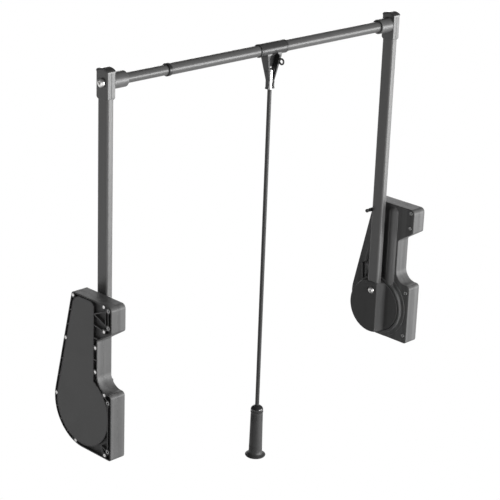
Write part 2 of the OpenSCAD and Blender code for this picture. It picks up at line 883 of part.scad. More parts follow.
module hub_screw() {
    color([0.78, 0.79, 0.81])
    difference() {
        turned_x([
            [hub_x + 5, 0],
            [hub_x + 5, foot_screw_r],
            [arm_inner_x, foot_screw_r],
            [arm_inner_x, foot_head_r],
            [arm_inner_x + foot_head_h - 1.6, foot_head_r],
            [arm_inner_x + foot_head_h - 0.5, foot_head_r - 0.6],
            [arm_inner_x + foot_head_h, foot_head_r - 1.8],
            [arm_inner_x + foot_head_h, 0]
        ], 0, foot_screw_z);
        translate([arm_inner_x + foot_head_h - 3.2, 0, foot_screw_z])
            rotate([0, 90, 0])
                cylinder(h = 3.2 + over, r = 3.5, $fn = 6);
    }
}

module arm_section(inset = 0) {
    x = arm_t / 2 - inset;
    y = arm_w / 2 - inset;
    r = arm_edge_r - inset;
    polygon(round_path([[-x, -y, r], [x, -y, r], [x, y, r], [-x, y, r]]));
}

module arm_tube() {
    color([0.3, 0.3, 0.31])
    difference() {
        translate([arm_x, 0, -foot_depth])
            linear_extrude(arm_top + foot_depth)
                difference() {
                    arm_section();
                    arm_section(arm_wall);
                }
        bar_x(arm_x - arm_t, arm_x + arm_t, foot_screw_r + fit_gap, 0, foot_screw_z);
        bar_x(arm_x - arm_t, arm_x + arm_t, conn_screw_r + fit_gap, 0, rail_z);
    }
}

// Arched top with round shoulders, from the right side over to the left one
function arch_top(half, r, corner) =
    let (
        z0 = conn_top - arch_r + cap_rise,
        side = atan2(cap_rise, half - corner)
    )
    concat(
        [for (i = [0:5])
            [half - corner + corner * cos(side * i / 5), z0 + corner * sin(side * i / 5)]],
        [for (i = [1:15]) let (a = side + (180 - 2 * side) * i / 16)
            [r * cos(a), conn_top - arch_r + r * sin(a)]],
        [for (i = [5:-1:0])
            [corner - half - corner * cos(side * i / 5), z0 + corner * sin(side * i / 5)]]
    );

// Arch under the cap: the connector's own top
module arch_inside(foot) {
    half = cap_half_y - cap_t;
    polygon(concat(
        [[-half, foot], [half, foot]],
        arch_top(half, arch_r - cap_t, cap_corner_r - cap_t)
    ));
}

// Connector outline seen along the rail
module connector_outline() {
    polygon([
        [-conn_half_y + conn_chamfer, conn_bottom],
        [conn_half_y - conn_chamfer, conn_bottom],
        [conn_half_y, conn_bottom + conn_chamfer],
        [conn_half_y, cap_foot_z],
        [-conn_half_y, cap_foot_z],
        [-conn_half_y, conn_bottom + conn_chamfer]
    ]);
    arch_inside(cap_foot_z - over);
}

// Room for the arm tube and its screw inside the connector
module connector_room() {
    translate([arm_x, 0, conn_bottom - over])
        linear_extrude(arm_top - conn_bottom + over + fit_gap)
            arm_section(-fit_gap);
    bar_x(conn_x0 - over, rail_end_x + over, conn_screw_r + fit_gap, 0, rail_z);
}

module connector_outer() {
    color([0.16, 0.16, 0.17])
    difference() {
        along_x(conn_x0, arm_x)
            connector_outline();
        connector_room();
    }
}

module connector_inner(tube_r) {
    color([0.16, 0.16, 0.17])
    difference() {
        union() {
            along_x(arm_x, conn_x1)
                connector_outline();
            turned_x([
                [conn_x1 - over, 0],
                [conn_x1 - over, socket_r],
                [socket_x1 - 1.2, socket_r],
                [socket_x1, socket_r - 1.2],
                [socket_x1, 0]
            ], 0, rail_z);
        }
        connector_room();
        bar_x(rail_end_x, socket_x1 + over, tube_r + run_gap, 0, rail_z);
        turned_x([
            [socket_x1 - 1.5, 0],
            [socket_x1 - 1.5, tube_r + run_gap],
            [socket_x1 + 0.2, tube_r + 1.6],
            [socket_x1 + 0.2, 0]
        ], 0, rail_z);
    }
}

module connector_cap() {
    color([0.09, 0.09, 0.1])
    along_x(conn_x0 - cap_lip, conn_x1 + cap_lip)
        difference() {
            polygon(concat(
                [[-cap_half_y, cap_foot_z], [cap_half_y, cap_foot_z]],
                arch_top(cap_half_y, arch_r, cap_corner_r)
            ));
            arch_inside(cap_foot_z - over);
        }
}

module connector_screw() {
    color([0.82, 0.83, 0.85])
    difference() {
        turned_x([
            [conn_x0 - conn_head_h, 0],
            [conn_x0 - conn_head_h, conn_head_r - 2.5],
            [conn_x0 - conn_head_h + 1, conn_head_r - 0.8],
            [conn_x0 - conn_head_h + 2.4, conn_head_r],
            [conn_x0, conn_head_r],
            [conn_x0, conn_screw_r],
            [rail_end_x + conn_screw_in, conn_screw_r],
            [rail_end_x + conn_screw_in + 1, 0]
        ], 0, rail_z);
        translate([conn_x0 - conn_head_h - over, 0, rail_z])
            rotate([0, 90, 0])
                cylinder(h = 3.4 + over, r = 3.5, $fn = 6);
    }
}

module rail_plug(tube_r, tube_wall) {
    color([0.5, 0.5, 0.52])
    difference() {
        bar_x(rail_end_x + 0.5, rail_end_x + plug_length, tube_r - tube_wall, 0, rail_z);
        bar_x(rail_end_x, rail_end_x + plug_length + over, conn_screw_r, 0, rail_z);
    }
}

module rail_tube(x0, x1, r, thickness) {
    difference() {
        bar_x(x0, x1, r, 0, rail_z);
        bar_x(x0 - over, x1 + over, r - thickness, 0, rail_z);
    }
}

module small_rail_tube() {
    color([0.3, 0.3, 0.31])
    rail_tube(rail_end_x, rail_end_x + small_length, small_r, small_wall);
}

module large_rail_tube() {
    color([0.28, 0.28, 0.29])
    rail_tube(large_end_x, width - rail_end_x, large_r, large_wall);
}

// Nylon bush in the small tube's free end, which slides in the large tube
module guide_bush() {
    end_x = rail_end_x + small_length;
    color([0.8, 0.8, 0.76])
    difference() {
        union() {
            bar_x(end_x - guide_in, end_x, small_r - small_wall, 0, rail_z);
            bar_x(end_x, end_x + guide_out, large_r - large_wall - run_gap, 0, rail_z);
        }
        bar_x(end_x - guide_in - over, end_x + guide_out + over, guide_bore_r, 0, rail_z);
    }
}

// Collar over the large tube's free end, which guides the small tube
module end_ring() {
    color([0.07, 0.07, 0.07])
    difference() {
        bar_x(large_end_x - ring_w, large_end_x + ring_back, ring_r, 0, rail_z);
        bar_x(large_end_x - ring_w - over, large_end_x, small_r + run_gap, 0, rail_z);
        bar_x(large_end_x, large_end_x + ring_back + over, large_r, 0, rail_z);
    }
}

// Clip: a sleeve on the large tube with a tapered yoke, whose mouth is open in front
module clip() {
    half = sleeve_length / 2;
    sleeve_r1 = large_r + sleeve_wall;
    slot_half = head_r + move_gap;
    leg_t = 3;
    foot_h = 4;
    foot_flare = 0.8;
    gable_depth = 1.2;
    boss_r = pin_r + 2.5;
    top_z = rail_z - sqrt(pow(sleeve_r1, 2) - pow(yoke_front, 2)) + 0.4;
    sleeve_z = rail_z - sleeve_r1;
    mouth_z = sleeve_z - 0.6;
    room_z = hinge_z + head_r + 8.5;
    yoke_z0 = rail_z - yoke_drop;
    leg_z0 = yoke_z0 - leg_length;
    room_half = slot_half + (mouth_half_w - slot_half) * (room_z - yoke_z0) / (mouth_z - yoke_z0);
    color([0.12, 0.12, 0.13])
    difference() {
        union() {
            turned_x([
                [clip_x - half, 0],
                [clip_x - half, sleeve_r1 - 1],
                [clip_x - half + 1, sleeve_r1],
                [clip_x + half - 1, sleeve_r1],
                [clip_x + half, sleeve_r1 - 1],
                [clip_x + half, 0]
            ], 0, rail_z);
            difference() {
                union() {
                    hull() {
                        translate([clip_x - yoke_half_w, -yoke_front, sleeve_z])
                            cube([2 * yoke_half_w, yoke_front + yoke_rear, top_z - sleeve_z]);
                        translate([clip_x - slot_half - leg_t, -leg_front, yoke_z0])
                            cube([2 * (slot_half + leg_t), leg_front + leg_rear, 1]);
                    }
                    for (side = [-1, 1])
                        translate([clip_x + side * (slot_half + leg_t - over), 0, leg_z0]) {
                            translate([-over, -leg_front, 0])
                                cube([2 * over, leg_front + leg_rear, leg_length + over]);
                            translate([side * foot_flare / 2 - over - foot_flare / 2, -leg_front, 0])
                                cube([2 * over + foot_flare, leg_front + leg_rear, foot_h]);
                        }
                }
                // Mouth down to a web at the rear, and the open room between the legs
                translate([clip_x, leg_rear - 1, 0])
                    rotate([90, 0, 0])
                        linear_extrude(yoke_front + leg_rear + over)
                            polygon([
                                [slot_half, leg_z0 - over],
                                [slot_half, yoke_z0],
                                [mouth_half_w, mouth_z],
                                [-mouth_half_w, mouth_z],
                                [-slot_half, yoke_z0],
                                [-slot_half, leg_z0 - over]
                            ]);
                translate([clip_x, yoke_rear + over, 0])
                    rotate([90, 0, 0])
                        linear_extrude(yoke_front + yoke_rear + 2 * over)
                            polygon([
                                [slot_half, leg_z0 - over],
                                [slot_half, yoke_z0],
                                [room_half, room_z],
                                [-room_half, room_z],
                                [-slot_half, yoke_z0],
                                [-slot_half, leg_z0 - over]
                            ]);
            }
            for (side = [-1, 1])
                bar_x(clip_x + side * (slot_half + 3.2) - 3.2, clip_x + side * (slot_half + 3.2) + 3.2,
                    boss_r, 0, hinge_z);
            bar_x(clip_x + eye_x, clip_x + eye_x + eye_t, eye_r, eye_y, eye_z);
        }
        bar_x(clip_x - half - over, clip_x + half + over, large_r + run_gap, 0, rail_z);
        // Shallow gable over the mouth
        intersection() {
            translate([clip_x, -over, 0])
                rotate([90, 0, 0])
                    linear_extrude(sleeve_r1 + over)
                        polygon([[-mouth_half_w, mouth_z - over], [mouth_half_w, mouth_z - over],
                            [mouth_half_w, mouth_z], [0, rail_z], [-mouth_half_w, mouth_z]]);
            difference() {
                bar_x(clip_x - half, clip_x + half, 2 * sleeve_r1, 0, rail_z);
                bar_x(clip_x - half - over, clip_x + half + over, sleeve_r1 - gable_depth, 0, rail_z);
            }
        }
        bar_x(clip_x - pin_half, clip_x + pin_half, pin_r, 0, hinge_z);
        bar_x(clip_x + eye_x - over, clip_x + eye_x + eye_t + over, eye_bore_r, eye_y, eye_z);
    }
}

module hinge_pin() {
    color([0.7, 0.71, 0.73])
    bar_x(clip_x - pin_half, clip_x + pin_half, pin_r, 0, hinge_z);
}

// Bright metal head that swings in the yoke and holds the rod
module rod_head() {
    color([0.8, 0.81, 0.83])
    difference() {
        union() {
            translate([clip_x, 0, hinge_z - head_length])
                cylinder(h = head_length, r = head_r);
            intersection() {
                bar_x(clip_x - head_r, clip_x + head_r, head_r, 0, hinge_z);
                translate([clip_x, 0, hinge_z - head_r])
                    cylinder(h = 2 * head_r, r = head_r);
            }
        }
        bar_x(clip_x - head_r - over, clip_x + head_r + over, pin_r + run_gap, 0, hinge_z);
        translate([clip_x, 0, hinge_z - head_length - over])
            cylinder(h = rod_insert + over, r = rod_r);
    }
}

module pull_rod() {
    z0 = grip_z1 - rod_in_grip;
    color([0.3, 0.3, 0.31])
    translate([clip_x, 0, z0])
        cylinder(h = hinge_z - head_length + rod_insert - z0, r = rod_r);
}

module grip() {
    color([0.1, 0.1, 0.1])
    difference() {
        translate([clip_x, 0, grip_z0])
            rotate_extrude($fn = 96)
                polygon([
                    [0, 0],
                    [flange_r - 1.5, 0],
                    [flange_r, 1.5],
                    [flange_r, 4],
                    [flange_r - 1.5, 5.5],
                    [grip_low_r + 2.5, 7.5],
                    [grip_low_r + 0.6, 10],
                    [grip_low_r, 15],
                    [grip_top_r, grip_length - cap_h],
                    [0, grip_length - cap_h]
                ]);
        translate([clip_x, 0, grip_z1 - rod_in_grip])
            cylinder(h = rod_in_grip, r = rod_r);
    }
}

// Domed and grooved cap at the grip's top
module grip_cap() {
    color([0.05, 0.05, 0.05])
    difference() {
        translate([clip_x, 0, grip_z1 - cap_h])
            rotate_extrude($fn = 96)
                polygon([
                    [0, 0],
                    [grip_top_r + 0.7, 0],
                    [grip_top_r + 0.7, 3],
                    [grip_top_r - 0.3, 3.6],
                    [grip_top_r - 0.3, 5],
                    [grip_top_r + 0.4, 5.6],
                    [grip_top_r + 0.4, 9],
                    [grip_top_r - 1.5, 13],
                    [grip_top_r - 5, cap_h - 1.5],
                    [rod_r + 1.5, cap_h],
                    [0, cap_h]
                ]);
        translate([clip_x, 0, grip_z1 - cap_h - over])
            cylinder(h = cap_h + 2 * over, r = rod_r);
    }
}

outer_shell();  // left_outer_shell
inner_shell();  // left_inner_shell
cover_plate();  // left_cover_plate
case_screw_set();  // left_case_screws
mounting_sleeve_set();  // left_mounting_sleeves
stop_pin();  // left_stop_pin
stop_buffer();  // left_stop_buffer
pivot_bush();  // left_pivot_bush
end_bearing();  // left_end_bearing
rack_guide();  // left_rack_guide
spring_seat();  // left_spring_seat
spring();  // left_spring
rack();  // left_rack
draw_nut();  // left_draw_nut
hub();  // left_hub
axle();  // left_axle
pinion();  // left_pinion
hub_screw();  // left_hub_screw
arm_tube();  // left_arm_tube
connector_outer();  // left_connector_outer
connector_inner(small_r);  // left_connector_inner
connector_cap();  // left_connector_cap
connector_screw();  // left_connector_screw
rail_plug(small_r, small_wall);  // left_rail_plug

right_side() outer_shell();  // right_outer_shell
right_side() inner_shell();  // right_inner_shell
right_side() cover_plate();  // right_cover_plate
right_side() case_screw_set();  // right_case_screws
right_side() mounting_sleeve_set();  // right_mounting_sleeves
right_side() stop_pin();  // right_stop_pin
right_side() stop_buffer();  // right_stop_buffer
right_side() pivot_bush();  // right_pivot_bush
right_side() end_bearing();  // right_end_bearing
right_side() rack_guide();  // right_rack_guide
right_side() spring_seat();  // right_spring_seat
right_side() spring();  // right_spring
right_side() rack();  // right_rack
right_side() draw_nut();  // right_draw_nut
right_side() hub();  // right_hub
right_side() axle();  // right_axle
right_side() pinion();  // right_pinion
right_side() hub_screw();  // right_hub_screw
right_side() arm_tube();  // right_arm_tube
right_side() connector_outer();  // right_connector_outer
right_side() connector_inner(large_r);  // right_connector_inner
right_side() connector_cap();  // right_connector_cap
right_side() connector_screw();  // right_connector_screw
right_side() rail_plug(large_r, large_wall);  // right_rail_plug

small_rail_tube();
guide_bush();
large_rail_tube();
end_ring();
clip();
hinge_pin();
rod_head();
pull_rod();
grip();
grip_cap();
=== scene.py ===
# Pull-down closet rod: the looks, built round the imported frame.
# Sizes are in millimetres and become metres where a mesh is made. What stands on both sides is drawn
# for the left wall, and its mirror image stands at the right one.
import math

import bmesh
import bpy
from mathutils import Matrix, Vector


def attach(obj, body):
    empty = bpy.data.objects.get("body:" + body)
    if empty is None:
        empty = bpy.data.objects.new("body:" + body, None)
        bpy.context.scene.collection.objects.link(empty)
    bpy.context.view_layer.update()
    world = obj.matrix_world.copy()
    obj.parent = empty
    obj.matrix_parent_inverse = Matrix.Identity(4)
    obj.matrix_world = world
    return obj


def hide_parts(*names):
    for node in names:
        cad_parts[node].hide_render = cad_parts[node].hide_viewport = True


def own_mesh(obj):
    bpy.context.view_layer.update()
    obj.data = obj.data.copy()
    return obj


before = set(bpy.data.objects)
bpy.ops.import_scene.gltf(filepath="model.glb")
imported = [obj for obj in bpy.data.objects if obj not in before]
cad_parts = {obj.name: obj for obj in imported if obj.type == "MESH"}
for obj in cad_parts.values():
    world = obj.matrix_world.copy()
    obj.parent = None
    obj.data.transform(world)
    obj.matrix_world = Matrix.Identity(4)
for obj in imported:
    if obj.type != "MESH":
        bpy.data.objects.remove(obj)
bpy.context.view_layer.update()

MM = 0.001
WIDTH = 1000.0

# Casing, seen from its wall inward
CASE_T = 39.0
CASE_FRONT, CASE_BOTTOM, CASE_TOP = 93.5, 81.5, 268.0
BELLY_R, TOP_REAR = 91.5, 34.0
BELLY_Z = BELLY_R - CASE_BOTTOM
NOTCH_Y, LOWER_TAB_Z, UPPER_TAB_Z, NOTCH_SLOPE, NOTCH_R = -49.0, 70.5, 209.0, 33.0, 32.0
FRONT_FILLET, REAR_FILLET, TOP_FILLET = 7.0, 8.0, 11.0
LIP_FILLET, NOTCH_FILLET, STEP_FILLET = 7.0, 6.0, 9.0
WALL, SPLIT_X, FLOOR_X, POCKET = 3.0, 17.0, 36.0, 8.0
WEB_X = POCKET + 2.5
CORNER_REACH = math.hypot(TOP_REAR, CASE_TOP - BELLY_Z)
LEAN = math.atan2(CASE_TOP - BELLY_Z, TOP_REAR) - math.acos(BELLY_R / CORNER_REACH)
COVER_T, COVER_RIM, COVER_FRONT, COVER_TOP = 1.5, 9.5, 35.0, 261.0
HOLE_Y = -82.5
MOUNTING_HOLES = [(HOLE_Y, 258.0), (HOLE_Y, 220.0), (HOLE_Y, 51.0), (HOLE_Y, -62.0)]
SLEEVE_R, SLEEVE_BORE_R, SLEEVE_END = 4.0, 2.8, 38.6
SCREW_R, SCREW_HEAD_R, SCREW_HEAD_H, SCREW_LENGTH = 1.9, 3.9, 2.2, 18.7
SCREW_EDGE, SCREW_CORNER = 5.2, 8.2
RIB_T, BOSS_WALL = 2.4, 4.6
SINK = 0.2

# Hub, pad and ring
PAD_X, RING_X, PAD_R = 41.0, 47.0, 84.0
HUB_X, HUB_LOW_X, HUB_TOP_X, HUB_R = 41.5, 49.0, 72.05, 66.5
RING_IN, RING_OUT = 68.0, 74.0
CREASE_Y, SLOPE_W = -17.65, 11.0
AXLE_R, BUSH_R = 12.0, 16.5
FOOT_SCREW_R, FOOT_SCREW_Z, FOOT_HEAD_R, WELL_R = 2.5, 43.5, 8.5, 10.8

# Spring and its bulge
SPRING_X, DRAW_Y, BULGE_R, BULGE_TOP, BULGE_WALL = 31.5, 30.0, 15.9, 264.0, 2.4
SEAT_Z, NUT_Z, RACK_TRAVEL, END_WIRE = 100.0, 238.0, 38.9, 1.7

# Stop pin
STOP_Y, STOP_Z, STOP_R, BUFFER_R, STOP_TIP_X = 21.05, 248.0, 2.6, 4.5, 84.55

# Arm, connector and rail
ARM_X, ARM_T, ARM_W, ARM_EDGE, ARM_WALL, FOOT_DEPTH = 61.3, 17.5, 32.5, 5.25, 1.5, 20.0
ARM_OUT, ARM_IN = ARM_X - ARM_T / 2, ARM_X + ARM_T / 2
RAIL_Z = 712.5
CONN_X0, CONN_X1, CONN_HALF_Y = 51.05, 71.55, 17.95
CONN_BOTTOM, CONN_TOP, CONN_ROUND, CONN_SEAM = RAIL_Z - 35.0, RAIL_Z + 30.5, 1.6, 1.0
CONN_SCREW_R, CONN_BORE_R, CONN_HEAD_R, CONN_CHAMFER = 4.0, 4.1, 10.0, 3.7
ARCH_R, CAP_T, CAP_LIP = 38.0, 2.6, 0.4
CAP_CORNER, CAP_HALF_Y = 5.0, CONN_HALF_Y + CAP_LIP
CAP_RISE = math.sqrt((ARCH_R - CAP_CORNER) ** 2 - (CAP_HALF_Y - CAP_CORNER) ** 2)
CAP_FOOT_Z = CONN_TOP - ARCH_R + CAP_RISE - 1.2
ARM_TOP = CAP_FOOT_Z - 1.5
SOCKET_R, SOCKET_X1, RAIL_END_X = 17.0, 109.55, 74.55
SMALL_R, SMALL_WALL, SMALL_END_X = 11.0, 1.3, 464.55
LARGE_R, LARGE_WALL, LARGE_X0 = 12.5, 1.2, 227.0
RING_R = 14.0
RUN = 0.05

# Clip and pull rod
CLIP_X, HINGE_Z, CLIP_HALF, CLIP_R = 536.0, 663.5, 42.0, 14.9
EYE_Y, EYE_Z, EYE_BORE_R = -16.5, 683.5, 4.25
HEAD_R, HEAD_LEN, ROD_R, ROD_HOLD_UP, ROD_HOLD_LOW, PIN_R = 5.6, 42.5, 4.8, 20.0, 40.0, 2.5
GRIP_Z0, GRIP_Z1, GRIP_TOP_R, GRIP_LOW_R, FLANGE_R, CAP_H = -281.5, -148.5, 14.5, 16.0, 24.5, 18.0


# ---------------------------------------------------------------- meshes

def metres(x, y, z):
    return (x * MM, y * MM, z * MM)


def placed(name, data):
    """A new object in the scene, at the origin."""
    thing = bpy.data.objects.new(name, data)
    bpy.context.scene.collection.objects.link(thing)
    return thing


def add_piece(name, shape, recalculate=True):
    """A new object from a bmesh in metres, with its faces turned outward."""
    if recalculate:
        bmesh.ops.recalc_face_normals(shape, faces=shape.faces)
    mesh = bpy.data.meshes.new(name)
    shape.to_mesh(mesh)
    shape.free()
    return placed(name, mesh)


def bake_modifiers(piece):
    """The piece's evaluated mesh replaces its mesh, and its modifiers go."""
    graph = bpy.context.evaluated_depsgraph_get()
    mesh = bpy.data.meshes.new_from_object(piece.evaluated_get(graph))
    old = piece.data
    piece.modifiers.clear()
    piece.data = mesh
    mesh.name = piece.name
    bpy.data.meshes.remove(old)
    return piece


def combine(piece, tools, operation):
    """Exact boolean of a piece with several closed tools, which are used up."""
    group = bpy.data.collections.new("tools")
    for tool in tools:
        group.objects.link(tool)
    step = piece.modifiers.new("combine", "BOOLEAN")
    step.operation = operation
    step.solver = "EXACT"
    step.operand_type = "COLLECTION"
    step.collection = group
    bake_modifiers(piece)
    for tool in tools:
        bpy.data.objects.remove(tool)
    bpy.data.collections.remove(group)
    return piece


def cut(piece, *tools):
    return combine(piece, tools, "DIFFERENCE")


def join(piece, *tools):
    return combine(piece, tools, "UNION")


def clip_to(piece, *tools):
    return combine(piece, tools, "INTERSECT")


def merge_flat(shape):
    """Faces that lie in one plane become one face."""
    bmesh.ops.dissolve_limit(
        shape, angle_limit=math.radians(0.5), verts=shape.verts, edges=shape.edges
    )


def round_edges(piece, width, segments, sharp=35):
    """Small radius on every edge that is sharper than an angle."""
    shape = bmesh.new()
    shape.from_mesh(piece.data)
    bmesh.ops.remove_doubles(shape, verts=shape.verts, dist=1e-6)
    merge_flat(shape)
    shape.to_mesh(piece.data)
    shape.free()
    step = piece.modifiers.new("round", "BEVEL")
    step.width = width * MM
    step.segments = segments
    step.limit_method = "ANGLE"
    step.angle_limit = math.radians(sharp)
    step.use_clamp_overlap = True
    step.miter_outer = "MITER_ARC"
    return bake_modifiers(piece)


def smooth(piece, angle=32):
    """Smooth shading that keeps sharp edges and flat faces flat."""
    piece.data.shade_smooth()
    piece.data.set_sharp_from_angle(angle=math.radians(angle))
    step = piece.modifiers.new("weighted", "WEIGHTED_NORMAL")
    step.keep_sharp = True
    step.weight = 60
    return bake_modifiers(piece)


def circle(radius, count):
    """Places on a circle."""
    return [
        (radius * math.cos(2 * math.pi * k / count), radius * math.sin(2 * math.pi * k / count))
        for k in range(count)
    ]


def arc(centre, radius, start, stop, steps):
    """Places on an arc, from one angle in degrees to another."""
    angles = [math.radians(start + (stop - start) * k / steps) for k in range(steps + 1)]
    return [(centre[0] + radius * math.cos(a), centre[1] + radius * math.sin(a)) for a in angles]


def groove(at, radius, half_mouth, half_floor, depth):
    """Corners of a shallow groove in a turned profile."""
    return [
        (at - half_mouth, radius), (at - half_floor, radius - depth),
        (at + half_floor, radius - depth), (at + half_mouth, radius),
    ]


def round_path(corners):
    """Closed path with rounded corners, from (y, z, radius) corners."""
    path = []
    for i, (y, z, radius) in enumerate(corners):
        before = Vector(corners[i - 1][:2])
        corner = Vector((y, z))
        after = Vector(corners[(i + 1) % len(corners)][:2])
        if radius <= 0:
            path.append((y, z))
            continue
        to_before = (before - corner).normalized()
        to_after = (after - corner).normalized()
        half = math.acos(max(-1.0, min(1.0, to_before.dot(to_after)))) / 2
        centre = corner + (to_before + to_after).normalized() * (radius / math.sin(half))
        start = corner + to_before * (radius / math.tan(half)) - centre
        stop = corner + to_after * (radius / math.tan(half)) - centre
        first = math.atan2(start.y, start.x)
        turn = (math.atan2(stop.y, stop.x) - first + 3 * math.pi) % (2 * math.pi) - math.pi
        degrees_a_step = 2.0 if radius > 20 else 9.0
        steps = max(4, round(abs(math.degrees(turn)) / degrees_a_step + 0.3))
        for k in range(steps + 1):
            a = first + turn * k / steps
            path.append((centre.x + radius * math.cos(a), centre.y + radius * math.sin(a)))
    return path


def skinned(name, loops, ring=False, ends=False):
    """Solid between loops of corners in metres, where a loop of one corner is a point.

    ring joins the last loop to the first one, and ends closes both with flat faces.
    """
    shape = bmesh.new()
    rows = [[shape.verts.new(corner) for corner in loop] for loop in loops]
    for low, high in zip(rows, rows[1:] + rows[:1] if ring else rows[1:]):
        for i in range(max(len(low), len(high))):
            here = (low[i % len(low)], low[(i + 1) % len(low)])
            there = (high[(i + 1) % len(high)], high[i % len(high)])
            face = list(dict.fromkeys(here + there))
            if len(face) > 2:
                shape.faces.new(face)
    if ends:
        shape.faces.new(rows[0])
        shape.faces.new(rows[-1])
    return add_piece(name, shape)


def slab(name, outline, levels):
    """Solid between outlines at several X levels, each level an (x, inset)."""
    loops = [[metres(x, y, z) for y, z in outline(inset)] for x, inset in levels]
    return skinned(name, loops, ends=True)


def rounded_levels(x0, x1, r0, r1, steps=4):
    """Levels of a slab whose two rims are rounded."""
    turns = [math.pi / 2 * k / steps for k in range(steps + 1)]
    first = [(x0 + r0 - r0 * math.cos(a), r0 - r0 * math.sin(a)) for a in (turns if r0 else turns[:1])]
    last = [(x1 - r1 + r1 * math.sin(a), r1 - r1 * math.cos(a)) for a in (turns if r1 else turns[:1])]
    return first + last


def prism(name, points, axis, low, high):
    """Flat shape given a thickness: (x, y) points along Z, or (x, z) points along Y."""
    loops = [
        [Vector((a, b, level) if axis == "Z" else (a, level, b)) * MM for a, b in points]
        for level in (low, high)
    ]
    return skinned(name, loops, ends=True)


def turned(name, profile, centre=(0.0, 0.0), axis="X", segments=96, ring=False):
    """Turned piece about X or Z, from (along, radius) corners; ring closes the profile on itself."""
    loops = []
    for along, radius in profile:
        spots = circle(radius, segments) if radius > 1e-9 else [(0.0, 0.0)]
        spots = [(centre[0] + a, centre[1] + b) for a, b in spots]
        loops.append([Vector((along, a, b) if axis == "X" else (a, b, along)) * MM for a, b in spots])
    return skinned(name, loops, ring)


def bar(name, x0, x1, radius, y=0.0, z=0.0, segments=48):
    return turned(name, [(x0, 0), (x0, radius), (x1, radius), (x1, 0)], (y, z), "X", segments)


def bars(x0, x1, radius, places, segments=48):
    """Bars at several (y, z) places, used as tools."""
    return [bar("bar", x0, x1, radius, y, z, segments) for y, z in places]


def post(name, z0, z1, radius, x, y, segments=48):
    return turned(name, [(z0, 0), (z0, radius), (z1, radius), (z1, 0)], (x, y), "Z", segments)


def block(name, low, high):
    """Plain box used as a tool."""
    shape = bmesh.new()
    bmesh.ops.create_cube(shape, size=1.0)
    for vertex in shape.verts:
        for k in range(3):
            vertex.co[k] = (low[k] if vertex.co[k] < 0 else high[k]) * MM
    return add_piece(name, shape)


def convex(name, points):
    """Convex hull of some corners."""
    shape = bmesh.new()
    for point in points:
        shape.verts.new(Vector(point) * MM)
    bmesh.ops.convex_hull(shape, input=shape.verts)
    merge_flat(shape)
    return add_piece(name, shape)


def mirrored(piece, name):
    """Copy of a left-hand piece at the right wall."""
    shape = bmesh.new()
    shape.from_mesh(piece.data)
    for vertex in shape.verts:
        vertex.co.x = WIDTH * MM - vertex.co.x
    bmesh.ops.reverse_faces(shape, faces=shape.faces)
    return add_piece(name, shape, recalculate=False)


# ---------------------------------------------------------------- nodes

def new_tree(name, kind, inputs, outputs):
    """Node group with named sockets; gives the tree, its inputs' sockets and its outputs' sockets."""
    tree = bpy.data.node_groups.new(name, kind)
    for label, what, value in inputs:
        socket = tree.interface.new_socket(label, in_out="INPUT", socket_type="NodeSocket" + what)
        if value is not None:
            socket.default_value = value
    for label, what in outputs:
        tree.interface.new_socket(label, in_out="OUTPUT", socket_type="NodeSocket" + what)
    return tree, tree.nodes.new("NodeGroupInput").outputs, tree.nodes.new("NodeGroupOutput").inputs


def add_node(tree, kind, inputs=None, **settings):
    """A node with its settings and its inputs: a value, a socket to link, or a list of sockets."""
    node = tree.nodes.new(kind)
    for key, value in settings.items():
        setattr(node, key, value)
    for key, value in (inputs or {}).items():
        for item in value if isinstance(value, list) else [value]:
            if isinstance(item, bpy.types.NodeSocket):
                tree.links.new(item, node.inputs[key])
            else:
                node.inputs[key].default_value = item
    return node


def maths(tree, operation, a, b=0.0, clamp=False):
    node = add_node(tree, "ShaderNodeMath", {0: a, 1: b}, operation=operation, use_clamp=clamp)
    return node.outputs[0]


def ramp(tree, value, low, high, to_low=0.0, to_high=1.0):
    """The stretch from low to high of a value, spread over another range."""
    return add_node(
        tree, "ShaderNodeMapRange",
        {"Value": value, "From Min": low, "From Max": high, "To Min": to_low, "To Max": to_high},
        clamp=True,
    ).outputs[0]


def noise(tree, vector, scale, detail, roughness=0.5):
    return add_node(
        tree, "ShaderNodeTexNoise",
        {"Vector": vector, "Scale": scale, "Detail": detail, "Roughness": roughness},
    ).outputs["Fac"]


def mix_colour(tree, factor, a, b):
    node = add_node(
        tree, "ShaderNodeMix", {0: factor, 6: a, 7: b}, data_type="RGBA", clamp_factor=True
    )
    return node.outputs[2]


def place_group(tree, group, inputs):
    return add_node(tree, "ShaderNodeGroup", inputs, node_tree=group).outputs


def grow(piece, tree, wanted):
    """Runs a geometry-nodes tree on a piece, its inputs set by identifier, and bakes it."""
    step = piece.modifiers.new(tree.name, "NODES")
    step.node_group = tree
    for item in tree.interface.items_tree:
        if item.in_out == "INPUT" and item.name in wanted:
            step[item.identifier] = wanted[item.name]
    piece.update_tag()
    return bake_modifiers(piece)


def give_painted(tree, geometry, material, result):
    """Last nodes of a geometry tree: real geometry with its material."""
    real = add_node(tree, "GeometryNodeRealizeInstances", {"Geometry": geometry})
    painted = add_node(
        tree, "GeometryNodeSetMaterial", {"Geometry": real.outputs[0], "Material": material}
    )
    tree.links.new(painted.outputs[0], result[0])


# ---------------------------------------------------------------- effects that the finishes share

